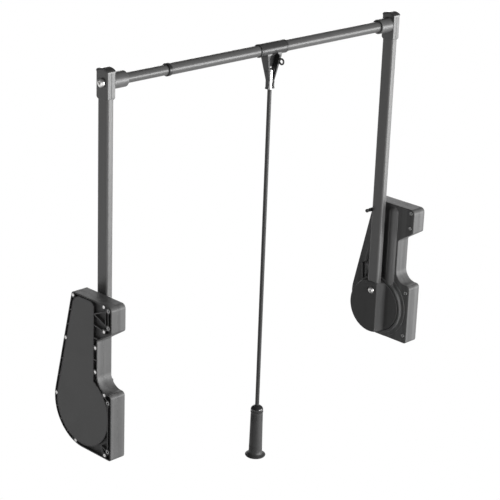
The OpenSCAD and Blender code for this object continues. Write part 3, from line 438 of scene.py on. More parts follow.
def build_edge_wear_and_highlight():
    """Mask of convex edges, broken up by noise; it lightens edges both as wear and as a painted highlight.
    """
    tree, given, result = new_tree(
        "edge_wear_and_highlight", "ShaderNodeTree",
        [("Vector", "Vector", None), ("Radius", "Float", 0.001), ("Break up", "Float", 60.0)],
        [("Mask", "Float")],
    )
    bevel = add_node(tree, "ShaderNodeBevel", {"Radius": given["Radius"]}, samples=4)
    geometry = add_node(tree, "ShaderNodeNewGeometry")
    dot = add_node(
        tree, "ShaderNodeVectorMath", {0: bevel.outputs[0], 1: geometry.outputs["True Normal"]},
        operation="DOT_PRODUCT",
    )
    edge = ramp(tree, dot.outputs["Value"], 0.998, 0.86)
    break_up_noise = ramp(tree, noise(tree, given["Vector"], given["Break up"], 4.0, 0.6), 0.38, 0.62, 0.25)
    tree.links.new(maths(tree, "MULTIPLY", edge, break_up_noise), result["Mask"])
    return tree


def build_moulded_grain():
    """Fine texture of a moulded or painted surface, with soft mottling."""
    tree, given, result = new_tree(
        "moulded_grain", "ShaderNodeTree",
        [("Vector", "Vector", None), ("Scale", "Float", 1400.0)],
        [("Height", "Float"), ("Mottle", "Float")],
    )
    grain = add_node(
        tree, "ShaderNodeTexVoronoi", {"Vector": given["Vector"], "Scale": given["Scale"]},
        feature="SMOOTH_F1",
    )
    fine = noise(tree, given["Vector"], given["Scale"], 3.0, 0.7)
    height = maths(tree, "ADD", maths(tree, "MULTIPLY", grain.outputs["Distance"], 0.6), fine)
    tree.links.new(height, result["Height"])
    tree.links.new(noise(tree, given["Vector"], 24.0, 5.0, 0.62), result["Mottle"])
    return tree


def build_streaks():
    """Fine and broad lines along one direction, as on drawn tube or a face drawn from a mould."""
    tree, given, result = new_tree(
        "streaks", "ShaderNodeTree",
        [("Vector", "Vector", None), ("Stretch", "Vector", (1.0, 1.0, 1.0)), ("Scale", "Float", 300.0)],
        [("Lines", "Float"), ("Broad", "Float")],
    )
    stretched = add_node(
        tree, "ShaderNodeVectorMath", {0: given["Vector"], 1: given["Stretch"]}, operation="MULTIPLY"
    ).outputs[0]
    tree.links.new(noise(tree, stretched, given["Scale"], 6.0, 0.72), result["Lines"])
    wide = maths(tree, "MULTIPLY", given["Scale"], 0.13)
    tree.links.new(noise(tree, stretched, wide, 2.0), result["Broad"])
    return tree


def build_settled_dust():
    """Faint dust on faces that look up."""
    tree, given, result = new_tree(
        "settled_dust", "ShaderNodeTree",
        [("Vector", "Vector", None), ("Amount", "Float", 0.15)],
        [("Mask", "Float")],
    )
    geometry = add_node(tree, "ShaderNodeNewGeometry")
    axes = add_node(tree, "ShaderNodeSeparateXYZ", {0: geometry.outputs["Normal"]})
    up = ramp(tree, axes.outputs["Z"], 0.55, 1.0)
    patchy = maths(tree, "MULTIPLY", up, noise(tree, given["Vector"], 180.0, 6.0, 0.7))
    tree.links.new(maths(tree, "MULTIPLY", patchy, given["Amount"]), result["Mask"])
    return tree


# The edge mask lightens convex edges both as wear and as a painted highlight.
EDGE_WEAR_AND_HIGHLIGHT = build_edge_wear_and_highlight()
MOULDED_GRAIN = build_moulded_grain()
STREAKS = build_streaks()
SETTLED_DUST = build_settled_dust()


# ---------------------------------------------------------------- finishes

def grey(value, warm=0.0):
    return (value * (1 + warm), value, value * (1 - warm), 1.0)


MOTTLING = 0.14
DUST = grey(0.34, 0.03)
ALONG_Z, ALONG_X = (1.0, 1.0, 0.02), (0.02, 1.0, 1.0)


def surface(
    name, base, worn_and_highlight, rough, grain, streaks=None, edge=(0.0008, 0.3),
    metallic=0.0, specular=0.5, dust=0.12, coat=(0.0, 0.2),
):
    """One finish, from its plain colour, its worn colour that also gives edges a painted highlight, and its
    lowest and highest roughness.

    grain is (scale, height), streaks (stretch, scale, height, shade), edge (radius, amount of
    wear and painted highlight) and coat (weight, roughness).
    """
    material = bpy.data.materials.new(name)
    material.use_nodes = True
    tree = material.node_tree
    shader = tree.nodes["Principled BSDF"]
    place = add_node(tree, "ShaderNodeTexCoord").outputs["Object"]
    grains = place_group(tree, MOULDED_GRAIN, {"Vector": place, "Scale": grain[0]})
    shades = [tuple(c * part for c in base[:3]) + (1,) for part in (1 - MOTTLING, 1 + MOTTLING)]
    colour = mix_colour(tree, grains["Mottle"], *shades)
    height = maths(tree, "MULTIPLY", grains["Height"], grain[1])
    polish = grains["Mottle"]
    if streaks:
        stretch, scale, line_height, line_shade = streaks
        drawn = place_group(tree, STREAKS, {"Vector": place, "Stretch": stretch, "Scale": scale})
        height = maths(tree, "ADD", height, maths(tree, "MULTIPLY", drawn["Lines"], line_height))
        band = maths(tree, "SUBTRACT", drawn["Broad"], 0.35, clamp=True)
        colour = mix_colour(tree, maths(tree, "MULTIPLY", band, line_shade), colour, worn_and_highlight)
        halves = [maths(tree, "MULTIPLY", value, 0.5) for value in (polish, drawn["Lines"])]
        polish = maths(tree, "ADD", *halves)
    # Convex edges turn to the worn colour: partly wear, partly a painted highlight.
    wear_and_highlight = place_group(tree, EDGE_WEAR_AND_HIGHLIGHT, {"Vector": place, "Radius": edge[0], "Break up": 70.0})
    colour = mix_colour(tree, maths(tree, "MULTIPLY", wear_and_highlight["Mask"], edge[1]), colour, worn_and_highlight)
    if dust > 0:
        settled = place_group(tree, SETTLED_DUST, {"Vector": place, "Amount": dust})
        colour = mix_colour(tree, settled["Mask"], colour, DUST)
    bump = add_node(tree, "ShaderNodeBump", {"Height": height, "Strength": 0.35, "Distance": 0.0004})
    tree.links.new(colour, shader.inputs["Base Color"])
    tree.links.new(ramp(tree, polish, 0.3, 0.7, *rough), shader.inputs["Roughness"])
    tree.links.new(bump.outputs[0], shader.inputs["Normal"])
    shader.inputs["Metallic"].default_value = metallic
    shader.inputs["Specular IOR Level"].default_value = specular
    shader.inputs["Coat Weight"].default_value = coat[0]
    shader.inputs["Coat Roughness"].default_value = coat[1]
    return material


def bare_metal(name, base, worn_and_highlight, rough, grain, streaks=None, edge=(0.0003, 0.2)):
    return surface(name, base, worn_and_highlight, rough, grain, streaks, edge, metallic=1.0, dust=0.0)


# The casing's strong edge lightening is mostly a painted highlight along its rims, with some wear.
casing_plastic = surface(
    "casing_plastic", grey(0.082), grey(0.36), (0.4, 0.52), (1500.0, 0.3),
    (ALONG_Z, 520.0, 0.4, 0.5), edge=(0.0012, 0.5), specular=0.32,
)
cover_coat = surface(
    "cover_powder_coat", grey(0.17), grey(0.28), (0.5, 0.6), (900.0, 0.25),
    edge=(0.0006, 0.5), specular=0.42, dust=0.05,
)
zinc_screw = bare_metal(
    "zinc_screw", grey(0.8, 0.01), grey(0.9), (0.26, 0.4), (2600.0, 0.06), edge=(0.0003, 0.3)
)
sleeve_steel = bare_metal("sleeve_steel", grey(0.85), grey(0.9), (0.22, 0.34), (2600.0, 0.06))
stop_coat = surface(
    "stop_black_steel", grey(0.06), grey(0.3), (0.3, 0.42), (1800.0, 0.08),
    edge=(0.0004, 0.4), metallic=0.6, dust=0.05,
)
buffer_rubber = surface(
    "buffer_rubber", grey(0.02), grey(0.05), (0.62, 0.75), (1600.0, 0.2), edge=(0.0005, 0.2), dust=0.1
)
hub_plastic = surface(
    "hub_glass_filled_plastic", grey(0.065), grey(0.3), (0.36, 0.48), (1300.0, 0.22),
    (ALONG_Z, 200.0, 0.15, 0.12), edge=(0.0009, 0.4), specular=0.28,
)
arm_paint = surface(
    "arm_satin_paint", grey(0.12, 0.005), grey(0.28), (0.36, 0.48), (700.0, 0.08),
    (ALONG_Z, 420.0, 0.06, 0.12), edge=(0.0006, 0.35), metallic=0.3, dust=0.04,
)
rail_paint = surface(
    "rail_satin_paint", grey(0.08, 0.005), grey(0.3), (0.28, 0.38), (700.0, 0.025),
    (ALONG_X, 420.0, 0.02, 0.16), edge=(0.0005, 0.3), dust=0.1,
)
rod_paint = surface(
    "rod_satin_paint", grey(0.035, 0.005), grey(0.08), (0.36, 0.44), (700.0, 0.06),
    (ALONG_Z, 420.0, 0.05, 0.14), edge=(0.0004, 0.2), specular=0.4, dust=0.0,
)
connector_plastic = surface(
    "connector_plastic", grey(0.11), grey(0.34), (0.34, 0.46), (1200.0, 0.2),
    (ALONG_Z, 260.0, 0.1, 0.15), edge=(0.0009, 0.45), metallic=0.22,
)
cap_plastic = surface(
    "cap_gloss_plastic", grey(0.035), grey(0.16), (0.2, 0.3), (1400.0, 0.06),
    edge=(0.0008, 0.35), coat=(0.3, 0.15),
)
ring_plastic = surface(
    "ring_gloss_plastic", grey(0.02), grey(0.1), (0.22, 0.34), (1400.0, 0.05),
    edge=(0.0006, 0.3), dust=0.05,
)
clip_plastic = surface(
    "clip_plastic", grey(0.035), grey(0.18), (0.26, 0.36), (1200.0, 0.06),
    (ALONG_X, 260.0, 0.04, 0.12), edge=(0.0008, 0.4),
)
nickel_head = bare_metal(
    "nickel_rod_head", grey(0.58, 0.01), grey(0.7), (0.24, 0.36), (2400.0, 0.04),
    (ALONG_Z, 700.0, 0.12, 0.1),
)
grip_rubber = surface(
    "grip_soft_rubber", grey(0.034), grey(0.11), (0.42, 0.55), (1100.0, 0.45), dust=0.06
)
grip_cap_plastic = surface(
    "grip_cap_gloss", grey(0.02), grey(0.1), (0.18, 0.28), (1400.0, 0.05),
    edge=(0.0006, 0.3), dust=0.05, coat=(0.4, 0.12),
)
natural_nylon = surface(
    "natural_nylon", grey(0.62, 0.05), grey(0.7), (0.4, 0.5), (1000.0, 0.08),
    edge=(0.0005, 0.2), dust=0.0,
)
gear_steel = bare_metal(
    "gear_steel", grey(0.42), grey(0.62), (0.3, 0.42), (1800.0, 0.1),
    (ALONG_X, 500.0, 0.2, 0.2), edge=(0.0004, 0.3),
)
spring_steel = bare_metal(
    "oiled_spring_steel", grey(0.3, 0.01), grey(0.55), (0.24, 0.36), (1500.0, 0.08)
)


def finished(piece, body, material, slot_name, *nodes):
    """The piece gets its finish, rides on its body and stands for its CAD nodes."""
    piece.data.materials.clear()
    piece.data.materials.append(material)
    for polygon in piece.data.polygons:
        polygon.material_index = 0
    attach(piece, body)
    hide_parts(*nodes)


def both_sides(piece, part, bodies, material, slot_name):
    """Finishes a left-hand piece and its mirror image; each stands for its CAD node."""
    right = mirrored(piece, "right_" + part + "_looks")
    smooth(piece)
    smooth(right)
    finished(piece, bodies[0], material, slot_name, "left_" + part)
    finished(right, bodies[1], material, slot_name, "right_" + part)


CASINGS = ("left_casing", "right_casing")
ARMS = ("left_arm", "right_arm")


# ---------------------------------------------------------------- casing

def rear_y(z, inset):
    """Where the leaning rear edge is at a height."""
    return (
        BELLY_R * math.cos(LEAN) + (BELLY_Z + BELLY_R * math.sin(LEAN) - z) * math.tan(LEAN)
        - inset / math.cos(LEAN)
    )


def notch_top_z(y, inset):
    """Where the sloping underside of the upper tab is."""
    slope = math.radians(NOTCH_SLOPE)
    return UPPER_TAB_Z - (y + CASE_FRONT) * math.tan(slope) + inset / math.cos(slope)


def belly_point(angle, inset):
    """Place on the round lower part of the casing's edge."""
    a = math.radians(angle)
    return ((BELLY_R - inset) * math.cos(a), BELLY_Z + (BELLY_R - inset) * math.sin(a))


def case_outline(inset=0.0):
    bottom, front = -CASE_BOTTOM + inset, -CASE_FRONT + inset
    top, notch = CASE_TOP - inset, NOTCH_Y + inset
    return round_path([
        (front, bottom, FRONT_FILLET - inset),
        (rear_y(bottom, inset), bottom, BELLY_R - inset),
        (rear_y(top, inset), top, REAR_FILLET - inset),
        (front, top, TOP_FILLET - inset),
        (front, notch_top_z(front, inset), LIP_FILLET - inset),
        (notch, notch_top_z(notch, inset), NOTCH_FILLET + inset),
        (notch, LOWER_TAB_Z - inset, NOTCH_R + inset),
        (front, LOWER_TAB_Z - inset, STEP_FILLET - inset),
    ])


def cover_outline(inset=0.0):
    """Cover plate: round with the belly, leaning with the rear edge, and straight in front."""
    radius = BELLY_R - COVER_RIM - inset
    front, top = -COVER_FRONT + inset, COVER_TOP - inset
    start = math.acos(front / radius)
    turn = 2 * math.pi + LEAN - start
    steps = 120
    angles = [start + turn * k / steps for k in range(steps + 1)]
    path = [(radius * math.cos(a), BELLY_Z + radius * math.sin(a)) for a in angles]
    corners = round_path([
        (*path[-1], 0),
        (rear_y(top, COVER_RIM + inset), top, 26.0 - inset),
        (front, top, 9.0 - inset),
        (*path[0], 0),
    ])
    return path + corners[1:-1]


REAR_SCREW_Z, TOP_SCREW_Z = UPPER_TAB_Z - 53, CASE_TOP - SCREW_CORNER
CASE_SCREWS = [
    (rear_y(TOP_SCREW_Z, SCREW_EDGE), TOP_SCREW_Z),
    (HOLE_Y + 14.5, CASE_TOP - SCREW_EDGE),
    (HOLE_Y + 13.5, UPPER_TAB_Z - 1),
    (NOTCH_Y + 7.2, UPPER_TAB_Z - 46),
    (NOTCH_Y + 7.2, LOWER_TAB_Z + 38),
    (HOLE_Y + 11.5, LOWER_TAB_Z - SCREW_EDGE),
    (HOLE_Y + 9.5, -CASE_BOTTOM + SCREW_CORNER),
    belly_point(-75, SCREW_EDGE),
    belly_point(5, SCREW_EDGE),
    (rear_y(REAR_SCREW_Z, SCREW_EDGE), REAR_SCREW_Z),
]


def flat_rib(start, stop, thickness, x0, x1):
    """Straight rib in the casing's plane."""
    a, b = Vector(start), Vector(stop)
    along = (b - a).normalized()
    across = Vector((-along.y, along.x)) * thickness / 2
    corners = [a + across, a - across, b - across, b + across]
    return slab("rib", lambda inset: [(c.x, c.y) for c in corners], [(x0, 0), (x1, 0)])


def rib_tools(x0, x1):
    """Lattice of the two tabs: ribs and rings that the pockets leave standing."""
    apex = (-COVER_FRONT - 3, 238.0)
    lower = (-COVER_FRONT - 27, -CASE_BOTTOM + 27)
    holes, screws = MOUNTING_HOLES, CASE_SCREWS
    lines = [
        (holes[0], holes[1]), (holes[0], apex), (holes[1], apex), (screws[1], holes[0]),
        (screws[2], holes[1]), ((HOLE_Y + 8.5, 225.0), (HOLE_Y + 8.5, 253.0)),
        (holes[2], (HOLE_Y + 6.5, LOWER_TAB_Z - 39)), (holes[2], screws[5]), (holes[3], screws[6]),
        (holes[3], lower), (lower, screws[6]), (holes[2], holes[3]),
        ((apex[0], apex[1] - 24), screws[2]),
    ]
    lines += [(belly_point(angle, 0), belly_point(angle, COVER_RIM)) for angle in (-55, -35, -15)]
    lines += [((rear_y(z, COVER_RIM), z), (rear_y(z, 0), z)) for z in (62, 105, 190, 225)]
    lines += [((NOTCH_Y, z), (-COVER_FRONT, z)) for z in (136, 185)]
    return (
        [flat_rib(a, b, RIB_T, x0, x1) for a, b in lines]
        + bars(x0, x1, SLEEVE_R + RIB_T, holes) + bars(x0, x1, SCREW_HEAD_R + RIB_T, screws)
    )


def build_outer_shell():
    """Outer half: hollow inside, with pockets, the plate's recess, bores and screw seats outside."""
    shell = slab("left_outer_shell_looks", case_outline, rounded_levels(0, SPLIT_X, 1.0, 0.45))
    hollow = slab("hollow", case_outline, [(WEB_X, WALL), (SPLIT_X + 1, WALL)])
    cut(hollow, *bars(WEB_X - 1, SPLIT_X + 2, SLEEVE_R + BOSS_WALL, MOUNTING_HOLES + CASE_SCREWS))
    pocket = slab("pocket", case_outline, [(-1, 2.6), (POCKET - 0.6, 2.6), (POCKET, 3.2)])
    cut(pocket, slab("plate", cover_outline, [(-2, -1.8), (POCKET + 1, -1.8)]))
    cut(pocket, *rib_tools(-2, POCKET + 2))
    cut(shell, hollow, pocket)
    recess = slab("recess", cover_outline, [(-1, -0.1), (COVER_T, -0.1)])
    opening = slab("opening", cover_outline, [(-1, WALL), (SPLIT_X + 1, WALL)])
    cut(shell, recess, opening)
    seat_x, seat_r = SCREW_HEAD_H + SINK, SCREW_HEAD_R + 0.1
    seat = [(-1, 0), (-1, seat_r + 0.4), (0.5, seat_r), (seat_x, seat_r), (seat_x, 0)]
    return cut(
        shell,
        *bars(-1, SPLIT_X + 1, SLEEVE_R, MOUNTING_HOLES),
        *bars(-1, SPLIT_X + 1, SCREW_R + 0.1, CASE_SCREWS, 32),
        *[turned("seat", seat, place, "X", 32) for place in CASE_SCREWS],
    )


def domed_post(name, foot, radius, top, segments):
    """Post with a domed top, on the spring's axis."""
    dome = arc((top - radius, 0.0), radius, 90, 0, 12)[:-1]
    return turned(
        name, [(foot, 0), (foot, radius)] + dome + [(top, 0)], (SPRING_X, -DRAW_Y), "Z", segments
    )


def build_spring_bulge():
    """Half-round cover over the spring, cut off where the hub turns."""
    foot = RING_OUT - 12
    tower = domed_post("tower", foot, BULGE_R, BULGE_TOP, 96)
    clip_to(tower, block("front", (CASE_T - 1, -120, foot), (120, 120, 300)))
    return cut(tower, bar("hub_room", PAD_X, 100, RING_IN, 0, 0, 160))


def build_wall_ring():
    """Raised ring round the hub, with a small foot."""
    low = CASE_T - 1
    return turned(
        "wall_ring",
        [(low, RING_IN), (RING_X - 0.8, RING_IN)]
        + arc((RING_X - 0.8, RING_IN + 0.8), 0.8, 270, 360, 3)[1:]
        + arc((RING_X - 1.6, RING_OUT - 1.6), 1.6, 0, 90, 5)
        + [(PAD_X + 1.5, RING_OUT + 0.3), (PAD_X - 0.2, RING_OUT + 1.8), (low, RING_OUT + 1.8)],
        (0, 0), "X", 160, ring=True,
    )


def build_inner_shell():
    """Inner half: pad, ring, bulge and fork outside, hollow with bosses inside."""
    shell = slab("left_inner_shell_looks", case_outline, rounded_levels(SPLIT_X, CASE_T, 0.45, 2.2, 5))
    hollow = slab("hollow", case_outline, [(SPLIT_X - 1, WALL), (FLOOR_X, WALL)])
    cut(
        hollow,
        *bars(SPLIT_X - 2, FLOOR_X + 1, SLEEVE_R + BOSS_WALL, MOUNTING_HOLES),
        *bars(SPLIT_X - 2, FLOOR_X + 1, SCREW_R + WALL, CASE_SCREWS),
        bar("boss", FLOOR_X - 8, FLOOR_X + 1, STOP_R + WALL, STOP_Y, STOP_Z),
    )
    pad = slab(
        "pad", lambda inset: circle(PAD_R - inset, 180), rounded_levels(CASE_T - 1, PAD_X, 0, 0.9)
    )
    clip_to(pad, slab("limit", case_outline, [(CASE_T - 2, 1.6), (PAD_X + 1, 1.6)]))
    fork = [
        round_edges(flat_rib(start, stop, thickness, CASE_T - 1, RING_X - 1), 1.3, 3)
        for start, stop, thickness in (((53, 54), (57, 95), 5.0), ((43, 56), (46, 98), 4.4))
    ]
    join(shell, pad)
    join(shell, build_wall_ring(), build_spring_bulge())
    join(shell, *fork)
    cut(shell, hollow)
    relief_r, relief_rim = SLEEVE_R + 2.3, SLEEVE_R + 2.9
    relief = [
        (FLOOR_X, 0), (FLOOR_X, relief_r), (CASE_T - 0.5, relief_r),
        (CASE_T + 0.1, relief_rim), (CASE_T + 1, relief_rim), (CASE_T + 1, 0),
    ]
    return cut(
        shell,
        domed_post("inside", SEAT_Z - 6, BULGE_R - BULGE_WALL, BULGE_TOP - BULGE_WALL, 64),
        bar("bore", FLOOR_X - 2, PAD_X + 5, BUSH_R),
        *bars(SPLIT_X - 1, CASE_T + 1, SLEEVE_R, MOUNTING_HOLES),
        *[turned("relief", relief, place, "X", 48) for place in MOUNTING_HOLES],
        *bars(SPLIT_X - 1, FLOOR_X - 2, SCREW_R, CASE_SCREWS, 32),
        bar("bore", FLOOR_X - 9, CASE_T + 1, STOP_R, STOP_Y, STOP_Z, 32),
    )


both_sides(build_outer_shell(), "outer_shell", CASINGS, casing_plastic, "casing_outer")
both_sides(build_inner_shell(), "inner_shell", CASINGS, casing_plastic, "casing_inner")
both_sides(
    slab("left_cover_plate_looks", cover_outline, rounded_levels(0, COVER_T, 0.35, 0.2, 3)),
    "cover_plate", CASINGS, cover_coat, "cover_plate",
)


# ---------------------------------------------------------------- screws and sleeves of the casing

def fastener_tree():
    """Cross-slotted screws on every point of a mesh, all along X and each turned a little further."""
    sizes = (
        ("Head radius", 0.0035), ("Head height", 0.0022), ("Shank radius", 0.0019), ("Length", 0.03),
        ("Slot width", 0.0009), ("Slot length", 0.0042), ("Slot depth", 0.0011), ("Turn", 0.6),
    )
    tree, given, result = new_tree(
        "fasteners_on_points", "GeometryNodeTree",
        [("Geometry", "Geometry", None)] + [(label, "Float", value) for label, value in sizes]
        + [("Material", "Material", None)],
        [("Geometry", "Geometry")],
    )

    def cone(radius_top, radius_bottom, depth, lift=None):
        mesh = add_node(
            tree, "GeometryNodeMeshCone",
            {"Vertices": 32, "Radius Top": radius_top, "Radius Bottom": radius_bottom, "Depth": depth},
        ).outputs["Mesh"]
        if lift is None:
            return mesh
        offset = add_node(tree, "ShaderNodeCombineXYZ", {"Z": lift}).outputs[0]
        moved = add_node(tree, "GeometryNodeTransform", {"Geometry": mesh, "Translation": offset})
        return moved.outputs[0]

    head_r, head_h, shank_r = given["Head radius"], given["Head height"], given["Shank radius"]
    chamfer = maths(tree, "MULTIPLY", head_h, 0.3)
    head = cone(head_r, head_r, maths(tree, "SUBTRACT", head_h, chamfer), chamfer)
    crown = cone(head_r, maths(tree, "SUBTRACT", head_r, chamfer), chamfer)
    shank = cone(shank_r, shank_r, given["Length"], head_h)
    point = cone(0.0002, shank_r, shank_r, maths(tree, "ADD", head_h, given["Length"]))
    body = add_node(
        tree, "GeometryNodeMeshBoolean", {"Mesh 2": [head, crown, shank, point]},
        operation="UNION", solver="EXACT",
    )
    deep = maths(tree, "MULTIPLY", given["Slot depth"], 2.0)
    slots = []
    for long, wide in (("Slot length", "Slot width"), ("Slot width", "Slot length")):
        size = add_node(tree, "ShaderNodeCombineXYZ", {"X": given[long], "Y": given[wide], "Z": deep})
        slot = add_node(tree, "GeometryNodeMeshCube", {"Size": size.outputs[0]})
        slots.append(slot.outputs["Mesh"])
    slotted = add_node(
        tree, "GeometryNodeMeshBoolean", {"Mesh 1": body.outputs[0], "Mesh 2": slots},
        operation="DIFFERENCE", solver="EXACT",
    )
    index = add_node(tree, "GeometryNodeInputIndex").outputs[0]
    spin = add_node(tree, "ShaderNodeCombineXYZ", {"Z": maths(tree, "MULTIPLY", index, given["Turn"])})
    tipped = add_node(
        tree, "GeometryNodeInstanceOnPoints",
        {"Points": given["Geometry"], "Instance": slotted.outputs[0], "Rotation": (0.0, math.pi / 2, 0.0)},
    )
    spun = add_node(
        tree, "GeometryNodeRotateInstances",
        {"Instances": tipped.outputs[0], "Rotation": spin.outputs[0], "Local Space": True},
    )
    give_painted(tree, spun.outputs[0], given["Material"], result)
    return tree


FASTENERS = fastener_tree()


def fasteners(name, points, material, **sizes):
    """A set of screws at (x, y, z) points, made by the fastener tree."""
    mesh = bpy.data.meshes.new(name)
    mesh.from_pydata([metres(*point) for point in points], [], [])
    wanted = {key.replace("_", " ").capitalize(): value * MM for key, value in sizes.items()}
    return grow(placed(name, mesh), FASTENERS, {"Material": material, **wanted})


def build_sleeves():
    """Four steel sleeves, one mesh."""
    x0, x1, bore = SINK, SLEEVE_END, SLEEVE_BORE_R
    profile = [
        (x0 + 0.4, SLEEVE_R), (x1 - 0.5, SLEEVE_R), (x1, SLEEVE_R - 0.5), (x1, bore + 0.3),
        (x1 - 0.3, bore), (x0 + 0.3, bore), (x0, bore + 0.3), (x0, SLEEVE_R - 0.4),
    ]
    shape = bmesh.new()
    for place in MOUNTING_HOLES:
        sleeve = turned("sleeve", profile, place, "X", 48, ring=True)
        shape.from_mesh(sleeve.data)
        bpy.data.objects.remove(sleeve)
    return add_piece("left_mounting_sleeves_looks", shape)


both_sides(
    fasteners(
        "left_case_screws_looks", [(SINK, y, z) for y, z in CASE_SCREWS], zinc_screw,
        head_radius=SCREW_HEAD_R, head_height=SCREW_HEAD_H, shank_radius=SCREW_R,
        length=SCREW_LENGTH, slot_width=0.7, slot_length=3.6, slot_depth=0.8,
    ),
    "case_screws", CASINGS, zinc_screw, "screw_steel",
)
both_sides(build_sleeves(), "mounting_sleeves", CASINGS, sleeve_steel, "sleeve_steel")


# ---------------------------------------------------------------- stop pin and buffer

def build_stop_pin():
    """Pin with a collar and a rounded tip."""
    x0, tip = FLOOR_X - 8, STOP_TIP_X
    return turned(
        "left_stop_pin_looks",
        [(x0, 0), (x0, STOP_R - 0.4), (x0 + 0.4, STOP_R), (tip - 7, STOP_R), (tip - 7, 3.8)]
        + [(tip - 6.2, 4.4)] + arc((tip - 3.4, 1.1), 3.4, 80, 0, 8)[:-1] + [(tip, 0.8), (tip, 0)],
        (STOP_Y, STOP_Z), "X", 64,
    )


def build_stop_buffer():
    """Rubber sleeve with rounded rims and two fine grooves, as wide as the arm and a little more."""
    x0, x1 = ARM_OUT - 3, ARM_IN + 2
    half = [
        (0.0, STOP_R), (0.0, BUFFER_R - 0.8), (0.3, BUFFER_R - 0.25), (0.9, BUFFER_R),
        (5.5, BUFFER_R), (6.1, BUFFER_R - 0.6), (6.7, BUFFER_R),
    ]
    profile = [(x0 + x, r) for x, r in half] + [(x1 - x, r) for x, r in reversed(half)]
    return turned("left_stop_buffer_looks", profile, (STOP_Y, STOP_Z), "X", 64, ring=True)


both_sides(build_stop_pin(), "stop_pin", CASINGS, stop_coat, "stop_steel")
both_sides(build_stop_buffer(), "stop_buffer", CASINGS, buffer_rubber, "buffer_rubber")


# ---------------------------------------------------------------- hub

def arm_section(inset=0.0):
    x, y, radius = ARM_T / 2 - inset, ARM_W / 2 - inset, ARM_EDGE - inset
    corners = round_path([(-x, -y, radius), (x, -y, radius), (x, y, radius), (-x, y, radius)])
    return [(ARM_X + a, b) for a, b in corners]


def build_hub():
    """Round hub: high behind the crease, with a hollow slope down to its low front."""
    foot_y, steps, share = CREASE_Y - SLOPE_W, 18, 0.985
    crest, crest_r, rim_r = HUB_TOP_X - 0.8, 0.8, 2.2
    profile = [(HUB_X, HUB_R + 2), (HUB_X, -HUB_R - 2), (HUB_LOW_X, -HUB_R - 2)]
    for k in range(steps + 1):
        a = math.pi / 2 * k / steps * share
        profile.append((
            HUB_LOW_X + (crest - HUB_LOW_X) * (1 - math.cos(a)), foot_y + SLOPE_W * math.sin(a)
        ))
    profile += arc((crest, CREASE_Y + crest_r), crest_r, -90, 0, 5)[1:]
    profile.append((HUB_TOP_X, HUB_R + 2))
    ends = [[metres(x, y, z) for x, y in profile] for z in (-HUB_R - 1, HUB_R + 1)]
    hub = skinned("left_hub_looks", ends, ends=True)
    clip_to(hub, turned(
        "disc",
        [(HUB_X, 0), (HUB_X, HUB_R - 0.4), (HUB_X + 0.4, HUB_R), (HUB_TOP_X - rim_r, HUB_R)]
        + arc((HUB_TOP_X - rim_r, HUB_R - rim_r), rim_r, 90, 0, 6)[1:] + [(HUB_TOP_X, 0)],
        (0, 0), "X", 160,
    ))
    well = [
        (ARM_IN, 0), (ARM_IN, WELL_R), (HUB_TOP_X - 0.5, WELL_R), (HUB_TOP_X + 0.1, WELL_R + 0.6),
        (HUB_TOP_X + 1, WELL_R + 0.6), (HUB_TOP_X + 1, 0),
    ]
    return cut(
        hub,
        prism("slot", arm_section(-0.1), "Z", -FOOT_DEPTH - 0.1, HUB_R + 5),
        bar("bore", HUB_X - 1, ARM_OUT - 0.8, AXLE_R),
        bar("bore", HUB_X + 3, ARM_OUT, FOOT_SCREW_R, 0, FOOT_SCREW_Z, 32),
        turned("well", well, (0, FOOT_SCREW_Z), "X", 64),
    )


def socket_screw(name, x_face, x_seat, x_end, head_r, shank_r, z, hex_r, hex_depth):
    """Socket-head screw along X; its head looks from the seat to the face."""
    side = 1 if x_face > x_seat else -1
    dome = abs(x_face - x_seat)
    screw = turned(
        name,
        [
            (x_face, 0), (x_face, hex_r + 0.5), (x_face - side * dome * 0.12, head_r * 0.74),
            (x_face - side * dome * 0.35, head_r * 0.93), (x_face - side * dome * 0.62, head_r),
            (x_seat + side * 0.3, head_r), (x_seat, head_r - 0.3), (x_seat, shank_r),
            (x_end + side * shank_r * 0.4, shank_r), (x_end, shank_r * 0.6), (x_end, 0),
        ],
        (0, z), "X", 72,
    )
    floor = x_face - side * hex_depth
    tip = x_face - side * (hex_depth + 0.8)
    return cut(screw, turned(
        "hex", [(x_face + side, 0), (x_face + side, hex_r), (floor, hex_r), (tip, 0)], (0, z), "X", 6
    ))


both_sides(build_hub(), "hub", ARMS, hub_plastic, "hub_black")
both_sides(
    socket_screw(
        "left_hub_screw_looks", ARM_IN + 6.0, ARM_IN, HUB_X + 5, FOOT_HEAD_R, FOOT_SCREW_R,
        FOOT_SCREW_Z, 3.5, 3.2,
    ),
    "hub_screw", ARMS, zinc_screw, "screw_steel",
)


# ---------------------------------------------------------------- arm

def build_arm():
    """Flat oval tube with a little rounding where it was cut."""
    z0, z1, soft, rings = -FOOT_DEPTH, ARM_TOP, 0.3, 24
    levels = [(z0, soft), (z0 + soft, 0.0)]
    levels += [(z0 + (z1 - z0) * k / rings, 0.0) for k in range(1, rings)]
    levels += [(z1 - soft, 0.0), (z1, soft), (z1, ARM_WALL - soft), (z1 - soft, ARM_WALL)]
    levels += [(z0 + soft, ARM_WALL), (z0, ARM_WALL - soft)]
    loops = [[metres(x, y, z) for x, y in arm_section(inset)] for z, inset in levels]
    return cut(
        skinned("left_arm_tube_looks", loops, ring=True),
        bar("bore", ARM_X - 20, ARM_X + 20, FOOT_SCREW_R + 0.1, 0, FOOT_SCREW_Z, 32),
        bar("bore", ARM_X - 20, ARM_X + 20, CONN_BORE_R, 0, RAIL_Z, 32),
    )


both_sides(build_arm(), "arm_tube", ARMS, arm_paint, "arm_paint")


# ---------------------------------------------------------------- corner connectors

